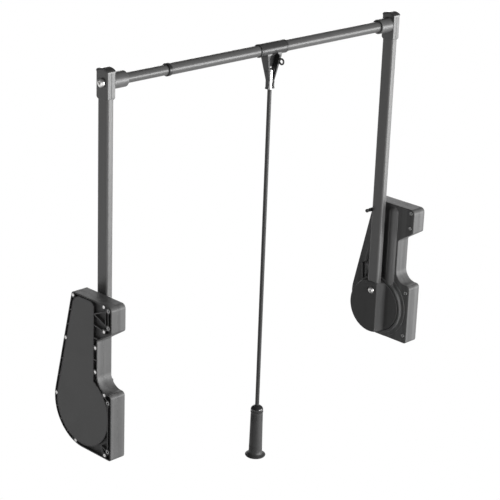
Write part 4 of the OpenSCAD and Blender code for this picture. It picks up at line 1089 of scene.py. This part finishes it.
def arch_top(half, radius, corner):
    """Arched top with round shoulders, from the right side over to the left one."""
    z0, side = CONN_TOP - ARCH_R + CAP_RISE, math.atan2(CAP_RISE, half - corner)
    turns = [side * k / 8 for k in range(9)]
    right = [(half - corner + corner * math.cos(a), z0 + corner * math.sin(a)) for a in turns]
    turns = [side + (math.pi - 2 * side) * k / 32 for k in range(1, 32)]
    top = [(radius * math.cos(a), CONN_TOP - ARCH_R + radius * math.sin(a)) for a in turns]
    return right + top + [(-y, z) for y, z in reversed(right)]


def connector_outline(inset=0.0):
    """Connector seen along the rail: bevelled bottom, straight sides, arched top under the cap."""
    half, bottom = CONN_HALF_Y - inset, CONN_BOTTOM + inset
    inner = arch_top(CAP_HALF_Y - CAP_T - inset, ARCH_R - CAP_T - inset, CAP_CORNER - CAP_T - inset)
    return (
        [(-half + CONN_CHAMFER, bottom), (half - CONN_CHAMFER, bottom)]
        + [(half, bottom + CONN_CHAMFER), (half, CAP_FOOT_Z), (inner[0][0], CAP_FOOT_Z)] + inner
        + [(inner[-1][0], CAP_FOOT_Z), (-half, CAP_FOOT_Z), (-half, bottom + CONN_CHAMFER)]
    )


def cap_outline(inset=0.0):
    """Arched cap seen along the rail."""
    foot = CAP_FOOT_Z + inset
    outer = arch_top(CAP_HALF_Y - inset, ARCH_R - inset, CAP_CORNER - inset)
    inner = arch_top(CAP_HALF_Y - CAP_T + inset, ARCH_R - CAP_T + inset, CAP_CORNER - CAP_T + inset)
    return (
        [(outer[0][0], foot)] + outer + [(outer[-1][0], foot), (inner[-1][0], foot)]
        + inner[::-1] + [(inner[0][0], foot)]
    )


def connector_room():
    """What the arm's head takes out of both halves."""
    return prism("room", arm_section(-0.1), "Z", CONN_BOTTOM - 1, ARM_TOP + 0.1)


def build_connector_outer():
    """Outer half, with a ring groove round the screw's head."""
    half = slab(
        "left_connector_outer_looks", connector_outline,
        rounded_levels(CONN_X0, ARM_X, CONN_ROUND, CONN_SEAM),
    )
    face, floor, well_r = CONN_X0 - 1, CONN_X0 + 0.5, CONN_HEAD_R + 0.4
    well = [(face, well_r), (floor, well_r), (floor, well_r + 1.8), (face, well_r + 2.6)]
    return cut(
        half, connector_room(), bar("bore", face, ARM_X + 1, CONN_BORE_R, 0, RAIL_Z),
        turned("well", well, (0, RAIL_Z), "X", 72, ring=True),
    )


def build_connector_inner(name, tube_r):
    """Inner half, with the socket that the rail's end sits in."""
    half = slab(
        name, connector_outline, rounded_levels(ARM_X, CONN_X1, CONN_SEAM, CONN_ROUND)
    )
    fillet, mouth = 1.6, tube_r + RUN
    join(half, turned(
        "socket",
        [(CONN_X1 - 1.5, 0), (CONN_X1 - 1.5, SOCKET_R + fillet), (CONN_X1, SOCKET_R + fillet)]
        + arc((CONN_X1 + fillet, SOCKET_R + fillet), fillet, 180, 270, 5)[1:]
        + [(SOCKET_X1 - fillet, SOCKET_R)]
        + arc((SOCKET_X1 - fillet, SOCKET_R - fillet), fillet, 90, 20, 5)[1:] + [(SOCKET_X1, 0)],
        (0, RAIL_Z), "X", 96,
    ))
    seat = [
        (RAIL_END_X, 0), (RAIL_END_X, mouth), (SOCKET_X1 - 2.5, mouth), (SOCKET_X1 - 0.8, mouth + 1.3),
        (SOCKET_X1 + 1, mouth + 1.6), (SOCKET_X1 + 1, 0),
    ]
    return cut(
        half, connector_room(), bar("bore", ARM_X - 1, RAIL_END_X + 1, CONN_BORE_R, 0, RAIL_Z),
        turned("seat", seat, (0, RAIL_Z), "X", 96),
    )


both_sides(build_connector_outer(), "connector_outer", ARMS, connector_plastic, "connector_black")
left_inner = build_connector_inner("left_connector_inner_looks", SMALL_R)
pattern = build_connector_inner("pattern", LARGE_R)
right_inner = mirrored(pattern, "right_connector_inner_looks")
bpy.data.objects.remove(pattern)
for piece, side in ((left_inner, "left"), (right_inner, "right")):
    finished(
        smooth(piece), side + "_arm", connector_plastic, "connector_black", side + "_connector_inner"
    )
both_sides(
    slab(
        "left_connector_cap_looks", cap_outline,
        rounded_levels(CONN_X0 - CAP_LIP, CONN_X1 + CAP_LIP, 0.8, 0.8),
    ),
    "connector_cap", ARMS, cap_plastic, "cap_black",
)
both_sides(
    socket_screw(
        "left_connector_screw_looks", CONN_X0 - 7.0, CONN_X0, RAIL_END_X + 19, CONN_HEAD_R,
        CONN_SCREW_R, RAIL_Z, 3.5, 3.4,
    ),
    "connector_screw", ARMS, zinc_screw, "screw_steel",
)


# ---------------------------------------------------------------- rail

def rail_tube(name, x0, x1, radius, wall):
    """Drawn tube with lightly rounded cut ends."""
    soft = 0.3
    length = [x0 + soft + (x1 - x0 - 2 * soft) * k / 12 for k in range(13)]
    bore = radius - wall
    profile = [(x0, radius - soft)] + [(x, radius) for x in length] + [(x1, radius - soft)]
    profile += [(x1, bore + soft)] + [(x, bore) for x in reversed(length)] + [(x0, bore + soft)]
    return turned(name, profile, (0, RAIL_Z), "X", 96, ring=True)


def build_end_ring():
    """Ring on the large tube's end, that the small tube slides through."""
    fillet, front, rear, bore = 1.4, LARGE_X0 - 4, LARGE_X0 + 5, SMALL_R + RUN
    low = RING_R - fillet
    return turned(
        "end_ring_looks",
        [(front, bore), (front, low)] + arc((front + fillet, low), fillet, 180, 90, 5)[1:]
        + [(rear - fillet, RING_R)] + arc((rear - fillet, low), fillet, 90, 0, 5)[1:]
        + [(rear, LARGE_R), (LARGE_X0, LARGE_R), (LARGE_X0, bore)],
        (0, RAIL_Z), "X", 96, ring=True,
    )


for name, body, x0, x1, radius, wall in (
    ("small_rail_tube", "left_arm", RAIL_END_X, SMALL_END_X, SMALL_R, SMALL_WALL),
    ("large_rail_tube", "right_arm", LARGE_X0, WIDTH - RAIL_END_X, LARGE_R, LARGE_WALL),
):
    tube = rail_tube(name + "_looks", x0, x1, radius, wall)
    finished(smooth(tube), body, rail_paint, "rail_paint", name)
finished(smooth(build_end_ring()), "right_arm", ring_plastic, "ring_black", "end_ring")


# ---------------------------------------------------------------- clip, hinge pin and pull rod

def build_clip_sleeve(x0, x1):
    """Sleeve round the large tube, with a groove near both ends."""
    soft = 1.2
    return turned(
        "clip_looks",
        [(x0, 0), (x0, CLIP_R - soft)] + arc((x0 + soft, CLIP_R - soft), soft, 180, 90, 4)[1:]
        + groove(x0 + 5.2, CLIP_R, 1.0, 0.4, 0.6) + groove(x1 - 5.2, CLIP_R, 1.0, 0.4, 0.6)
        + arc((x1 - soft, CLIP_R - soft), soft, 90, 0, 4) + [(x1, 0)],
        (0, RAIL_Z), "X", 96,
    )


def build_clip():
    """Sleeve with a tapered yoke that is open in front, two legs, bosses for the pin and an eye."""
    x0, x1 = CLIP_X - CLIP_HALF, CLIP_X + CLIP_HALF
    clip = build_clip_sleeve(x0, x1)
    slot_half, leg_t, mouth_half, yoke_half = HEAD_R + 0.5, 3.0, 16.0, 22.5
    yoke_front, yoke_back, leg_front, leg_back = -12.5, 10, -6, 5
    sleeve_z = RAIL_Z - CLIP_R
    mouth_z, room_z, web_z = sleeve_z - 0.6, HINGE_Z + HEAD_R + 8.5, HINGE_Z + HEAD_R + 0.9
    top_z = RAIL_Z - math.sqrt(CLIP_R ** 2 - yoke_front ** 2) + 0.4
    foot_z = RAIL_Z - 71.5
    leg_z0 = foot_z - 19

    def mouth_at(z):
        """Half the width between the yoke's sides at a height."""
        return slot_half + (mouth_half - slot_half) * (z - foot_z) / (mouth_z - foot_z)

    room_half, web_half = mouth_at(room_z), mouth_at(web_z) + 1.3
    yoke = convex("yoke", [
        (CLIP_X + side * yoke_half, y, z)
        for side in (-1, 1) for y in (yoke_front, yoke_back) for z in (sleeve_z, top_z)
    ] + [
        (CLIP_X + side * (slot_half + leg_t), y, z)
        for side in (-1, 1) for y in (leg_front, leg_back) for z in (foot_z, foot_z + 1)
    ])
    round_edges(yoke, 1.2, 3)
    legs = []
    for side in (-1, 1):
        inner, outer = CLIP_X + side * (slot_half - 1), CLIP_X + side * (slot_half + leg_t)
        toe = outer + side * 0.8
        for name, edge, top, width in (("leg", outer, foot_z + 3, 0.8), ("foot", toe, leg_z0 + 4, 0.5)):
            low, high = (min(inner, edge), leg_front, leg_z0), (max(inner, edge), leg_back, top)
            legs.append(round_edges(block(name, low, high), width, 2))
    join(yoke, *legs)
    below = [
        (CLIP_X - slot_half, foot_z), (CLIP_X - slot_half, leg_z0 - 1),
        (CLIP_X + slot_half, leg_z0 - 1), (CLIP_X + slot_half, foot_z),
    ]
    mouth = [(CLIP_X + mouth_half, mouth_z), (CLIP_X - mouth_half, mouth_z)] + below
    room = [(CLIP_X + room_half, room_z), (CLIP_X - room_half, room_z)] + below
    cut(yoke, prism("mouth", mouth, "Y", -20, 4), prism("room", room, "Y", -20, 20))
    web_top = room_half + 1.7
    parts = [yoke, prism(
        "web",
        [(CLIP_X - web_half, web_z), (CLIP_X + web_half, web_z)]
        + [(CLIP_X + web_top, room_z + 2.1), (CLIP_X - web_top, room_z + 2.1)],
        "Y", 4.7, 8.9,
    )]
    boss_r = PIN_R + 2.5
    for side in (-1, 1):
        inner, outer = CLIP_X + side * slot_half, CLIP_X + side * (slot_half + 6.4)
        boss = [(inner, 0), (inner, boss_r - 0.5), (inner + side * 0.5, boss_r), (outer, boss_r), (outer, 0)]
        parts.append(turned("boss", boss, (0, HINGE_Z), "X", 48))
    parts.append(build_clip_eye(CLIP_X + 16, CLIP_X + 19))
    join(clip, *parts)
    gable = prism(
        "gable",
        [(CLIP_X - mouth_half, mouth_z - 1), (CLIP_X + mouth_half, mouth_z - 1)]
        + [(CLIP_X + mouth_half, mouth_z), (CLIP_X, RAIL_Z), (CLIP_X - mouth_half, mouth_z)],
        "Y", -20, -1,
    )
    cut(gable, bar("core", x0 - 1, x1 + 1, CLIP_R - 1.2, 0, RAIL_Z, 96))
    return cut(
        clip, gable,
        bar("bore", x0 - 1, x1 + 1, LARGE_R + RUN, 0, RAIL_Z, 96),
        bar("pin", CLIP_X - PIN_HALF, CLIP_X + PIN_HALF, PIN_R, 0, HINGE_Z),
        bar("eye_bore", CLIP_X + 15, CLIP_X + 20, EYE_BORE_R, EYE_Y, EYE_Z),
    )


def build_clip_eye(x0, x1):
    """Small ring beside the yoke, with rounded rims."""
    soft, middle = 1.1, 6.9
    return turned(
        "eye",
        [(x0, 4.9), (x0, middle)] + arc((x0 + soft, middle), soft, 180, 90, 4)[1:]
        + arc((x1 - soft, middle), soft, 90, 0, 4)
        + [(x1, 4.9), (x1 - 0.6, EYE_BORE_R), (x0 + 0.6, EYE_BORE_R)],
        (EYE_Y, EYE_Z), "X", 64, ring=True,
    )


def build_hinge_pin():
    """Pin with bevelled ends."""
    low, high = CLIP_X - PIN_HALF, CLIP_X + PIN_HALF
    profile = [
        (low, 0), (low, PIN_R - 0.5), (low + 0.5, PIN_R), (high - 0.5, PIN_R), (high, PIN_R - 0.5), (high, 0)
    ]
    return turned("hinge_pin_looks", profile, (0, HINGE_Z), "X", 48)


def build_rod_head():
    """Bright turned head with a ball end that the hinge pin passes through."""
    low = HINGE_Z - HEAD_LEN
    head = turned(
        "rod_head_looks",
        [(low, 0), (low, HEAD_R - 0.6), (low + 0.6, HEAD_R)]
        + groove(low + 9.8, HEAD_R, 0.8, 0.4, 0.45) + [(HINGE_Z, HEAD_R)]
        + arc((HINGE_Z, 0.0), HEAD_R, 90, 0, 14)[1:-1] + [(HINGE_Z + HEAD_R, 0)],
        (CLIP_X, 0), "Z", 96,
    )
    pin_bore = bar("pin_bore", CLIP_X - HEAD_R - 1, CLIP_X + HEAD_R + 1, PIN_R + RUN, 0, HINGE_Z)
    return cut(head, pin_bore, post("bore", low - 1, low + ROD_HOLD_UP, ROD_R, CLIP_X, 0))


def build_pull_rod():
    """Rod that reaches into the head above and the grip below."""
    low, high = GRIP_Z1 - ROD_HOLD_LOW, HINGE_Z - HEAD_LEN + ROD_HOLD_UP
    return turned(
        "pull_rod_looks",
        [(low, 0), (low, ROD_R - 0.4), (low + 0.4, ROD_R)]
        + [(low + (high - low) * k / 16, ROD_R) for k in range(1, 16)]
        + [(high - 0.4, ROD_R), (high, ROD_R - 0.4), (high, 0)],
        (CLIP_X, 0), "Z", 72,
    )


def build_grip():
    """Tapered grip with fine ring grooves and a flared foot."""
    top, low, flare = GRIP_Z1 - CAP_H, GRIP_Z0, 15

    def radius_at(z):
        return GRIP_LOW_R + (GRIP_TOP_R - GRIP_LOW_R) * (z - low - flare) / (top - low - flare)

    foot = [
        (0, 0), (0, 17.5), (0.4, 20.8), (1.5, 23.2), (2.8, 24.2), (3.8, FLANGE_R), (4.8, 23.9),
        (6.0, 21.6), (7.6, 19.0), (9.6, 17.3), (12.5, 16.4), (flare, GRIP_LOW_R),
    ]
    profile = [(low + z, r) for z, r in foot]
    for z in [low + 19 + 3.2 * k for k in range(4)]:
        profile += groove(z, radius_at(z), 0.7, 0.3, 0.5)
    for z in [low + 32 + (top - low - 62) * k / 8 for k in range(1, 8)]:
        profile.append((z, radius_at(z)))
    for z in [top - 22 + 4.0 * k for k in range(5)]:
        profile += groove(z, radius_at(z), 0.8, 0.35, 0.6)
    profile += [(top, radius_at(top)), (top, 0)]
    grip = turned("grip_looks", profile, (CLIP_X, 0), "Z", 96)
    return cut(grip, post("bore", GRIP_Z1 - ROD_HOLD_LOW, GRIP_Z1 + 1, ROD_R, CLIP_X, 0, 72))


def build_grip_cap():
    """Domed and grooved cap, from (height, radius over the grip's) corners."""
    low = GRIP_Z1 - CAP_H
    dome = [
        (0.0, 0.3), (0.4, 0.7), (2.6, 0.7), (3.2, 0.3), (3.5, -0.3), (4.9, -0.3), (5.3, 0.1),
        (5.9, 0.4), (8.6, 0.4), (10.0, 0.1), (11.6, -0.7), (13.2, -1.9), (14.6, -3.4), (15.8, -5.0),
        (17.0, -6.4),
    ]
    profile = [(low, 0)] + [(low + z, GRIP_TOP_R + r) for z, r in dome]
    profile += [(low + CAP_H, ROD_R + 1.5), (low + CAP_H, 0)]
    cap = turned("grip_cap_looks", profile, (CLIP_X, 0), "Z", 96)
    return cut(cap, post("bore", low - 1, low + CAP_H + 1, ROD_R, CLIP_X, 0, 72))


PIN_HALF = HEAD_R + 10
finished(smooth(build_clip()), "right_arm", clip_plastic, "clip_black", "clip")
finished(smooth(build_hinge_pin()), "right_arm", stop_coat, "stop_steel", "hinge_pin")
finished(smooth(build_rod_head()), "pull_rod", nickel_head, "rod_head_metal", "rod_head")
finished(smooth(build_pull_rod()), "pull_rod", rod_paint, "rod_paint", "pull_rod")
finished(smooth(build_grip()), "pull_rod", grip_rubber, "grip_black", "grip")
finished(smooth(build_grip_cap()), "pull_rod", grip_cap_plastic, "grip_cap_black", "grip_cap")


# ---------------------------------------------------------------- springs

def spring_tree():
    """Coil spring along Z."""
    sizes = (("Turns", 11.0), ("Coil radius", 0.0104), ("Wire radius", 0.0016), ("Height", 0.1346))
    tree, given, result = new_tree(
        "coil_spring", "GeometryNodeTree",
        [("Geometry", "Geometry", None)] + [(label, "Float", value) for label, value in sizes]
        + [("Place", "Vector", None), ("Material", "Material", None)],
        [("Geometry", "Geometry")],
    )
    spiral = add_node(tree, "GeometryNodeCurveSpiral", {
        "Resolution": 28, "Rotations": given["Turns"], "Start Radius": given["Coil radius"],
        "End Radius": given["Coil radius"], "Height": given["Height"],
    })
    wire = add_node(
        tree, "GeometryNodeCurvePrimitiveCircle", {"Resolution": 12, "Radius": given["Wire radius"]}
    )
    coil = add_node(
        tree, "GeometryNodeCurveToMesh",
        {"Curve": spiral.outputs[0], "Profile Curve": wire.outputs[0], "Fill Caps": True},
    )
    moved = add_node(
        tree, "GeometryNodeTransform", {"Geometry": coil.outputs[0], "Translation": given["Place"]}
    )
    give_painted(tree, moved.outputs[0], given["Material"], result)
    return tree


COIL = spring_tree()


def build_spring(side, x):
    """Spring between its seat and the nut, made once at one fixed length."""
    low, high, free = SEAT_Z + END_WIRE, NUT_Z - END_WIRE, NUT_Z - SEAT_Z
    name = side + "_spring_looks"
    piece = grow(placed(name, bpy.data.meshes.new(name)), COIL, {
        "Place": Vector((x, -DRAW_Y, low)) * MM, "Height": (high - low) * MM, "Material": spring_steel,
    })
    smooth(piece, 60)
    finished(piece, side + "_casing", spring_steel, "spring_steel", side + "_spring")
    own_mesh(piece)


build_spring("left", SPRING_X)
build_spring("right", WIDTH - SPRING_X)


# ---------------------------------------------------------------- inner pieces keep their CAD shape

INNER_FINISH = {
    natural_nylon: ("pivot_bush", "end_bearing", "rack_guide"),
    gear_steel: ("spring_seat", "axle", "pinion", "rack", "draw_nut", "rail_plug"),
}
for material, parts in INNER_FINISH.items():
    names = [side + part for side in ("left_", "right_") for part in parts]
    for name in names + (["guide_bush"] if material == natural_nylon else []):
        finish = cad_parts[name].data.materials
        finish.clear()
        finish.append(material)


# ---------------------------------------------------------------- studio

# The photograph's view, solved from its vanishing directions
LENS, SENSOR, SHIFT_Y = 122.82, 36.0, 0.0014
CAMERA_PLACE = (-2.1084, -2.5327, 1.5840)
CAMERA_RIGHT = (0.70620, -0.70718, 0.03442)
CAMERA_UP = (0.22129, 0.26664, 0.93804)
CAMERA_BACK = (-0.67255, -0.65483, 0.34480)

FLOOR_Z, FLOOR_HALF, FLOOR_GREY = -1.6, 15.0, 0.22
WHITE_FROM, WHITE_AT = 1.8, 3.8
WORLD_LIGHT = 0.1

camera_data = bpy.data.cameras.new("photo_camera")
camera_data.lens = LENS
camera_data.sensor_width = SENSOR
camera_data.shift_y = SHIFT_Y
camera_data.clip_end = 50.0
camera = placed("photo_camera", camera_data)
turn = Matrix((CAMERA_RIGHT, CAMERA_UP, CAMERA_BACK)).transposed().to_4x4()
camera.matrix_world = Matrix.Translation(Vector(CAMERA_PLACE)) @ turn
bpy.context.scene.camera = camera


def backdrop_material():
    """Floor that is white to the camera and, far out, in reflections, and grey to all other rays."""
    material = bpy.data.materials.new("pale_floor")
    material.use_nodes = True
    tree = material.node_tree
    shader = tree.nodes["Principled BSDF"]
    shader.inputs["Base Color"].default_value = grey(FLOOR_GREY)
    shader.inputs["Roughness"].default_value = 0.9
    rays = add_node(tree, "ShaderNodeLightPath").outputs
    spot = add_node(tree, "ShaderNodeTexCoord").outputs["Object"]
    reach = add_node(tree, "ShaderNodeVectorMath", {0: spot}, operation="LENGTH").outputs["Value"]
    mirrored_far = maths(tree, "MULTIPLY", rays["Is Glossy Ray"], ramp(tree, reach, WHITE_FROM, WHITE_AT))
    seen = maths(tree, "MAXIMUM", rays["Is Camera Ray"], mirrored_far)
    glow = add_node(tree, "ShaderNodeEmission", {"Color": (1, 1, 1, 1), "Strength": 1.0}).outputs[0]
    mixed = add_node(tree, "ShaderNodeMixShader", {0: seen, 1: shader.outputs[0], 2: glow})
    tree.links.new(mixed.outputs[0], tree.nodes["Material Output"].inputs["Surface"])
    return material


floor_shape = bmesh.new()
bmesh.ops.create_grid(floor_shape, x_segments=1, y_segments=1, size=FLOOR_HALF)
for vertex in floor_shape.verts:
    vertex.co.z = FLOOR_Z
floor = add_piece("studio_floor", floor_shape, recalculate=False)
floor.data.materials.append(backdrop_material())


def build_world():
    """White to the camera, and a weak even light to all other rays."""
    world = bpy.data.worlds.new("studio")
    world.use_nodes = True
    bpy.context.scene.world = world
    sky = world.node_tree
    sky.nodes.remove(sky.nodes["Background"])
    camera_ray = add_node(sky, "ShaderNodeLightPath").outputs["Is Camera Ray"]
    plain, white = [
        add_node(sky, "ShaderNodeBackground", {"Color": (1, 1, 1, 1), "Strength": strength}).outputs[0]
        for strength in (WORLD_LIGHT, 1.0)
    ]
    chosen = add_node(sky, "ShaderNodeMixShader", {0: camera_ray, 1: plain, 2: white})
    sky.links.new(chosen.outputs[0], sky.nodes["World Output"].inputs["Surface"])


def softbox(name, place, target, size, energy):
    """Area lamp that looks from its place to a target, both in metres."""
    data = bpy.data.lights.new(name, "AREA")
    data.shape = "RECTANGLE"
    data.size, data.size_y = size
    data.energy = energy
    lamp = placed(name, data)
    lamp.location = place
    lamp.rotation_euler = (Vector(target) - Vector(place)).to_track_quat("-Z", "Y").to_euler()


build_world()
softbox("front_softbox", (0.9, -4.2, 0.8), (0.5, 0, 0.3), (2.0, 2.0), 170)
softbox("right_front_softbox", (3.2, -3.4, 0.2), (0.5, 0, 0.3), (3.0, 1.8), 165)
softbox("left_strip_softbox", (-3.2, -0.5, 0.1), (0.9, 0, 0.15), (0.45, 1.8), 12)
softbox("back_left_softbox", (-3.0, 2.6, 0.9), (0.3, 0, 0.3), (2.4, 2.4), 5)
softbox("back_right_softbox", (3.0, 2.9, 0.9), (0.6, 0, 0.3), (3.0, 1.4), 45)

bpy.context.scene.view_settings.view_transform = "Standard"
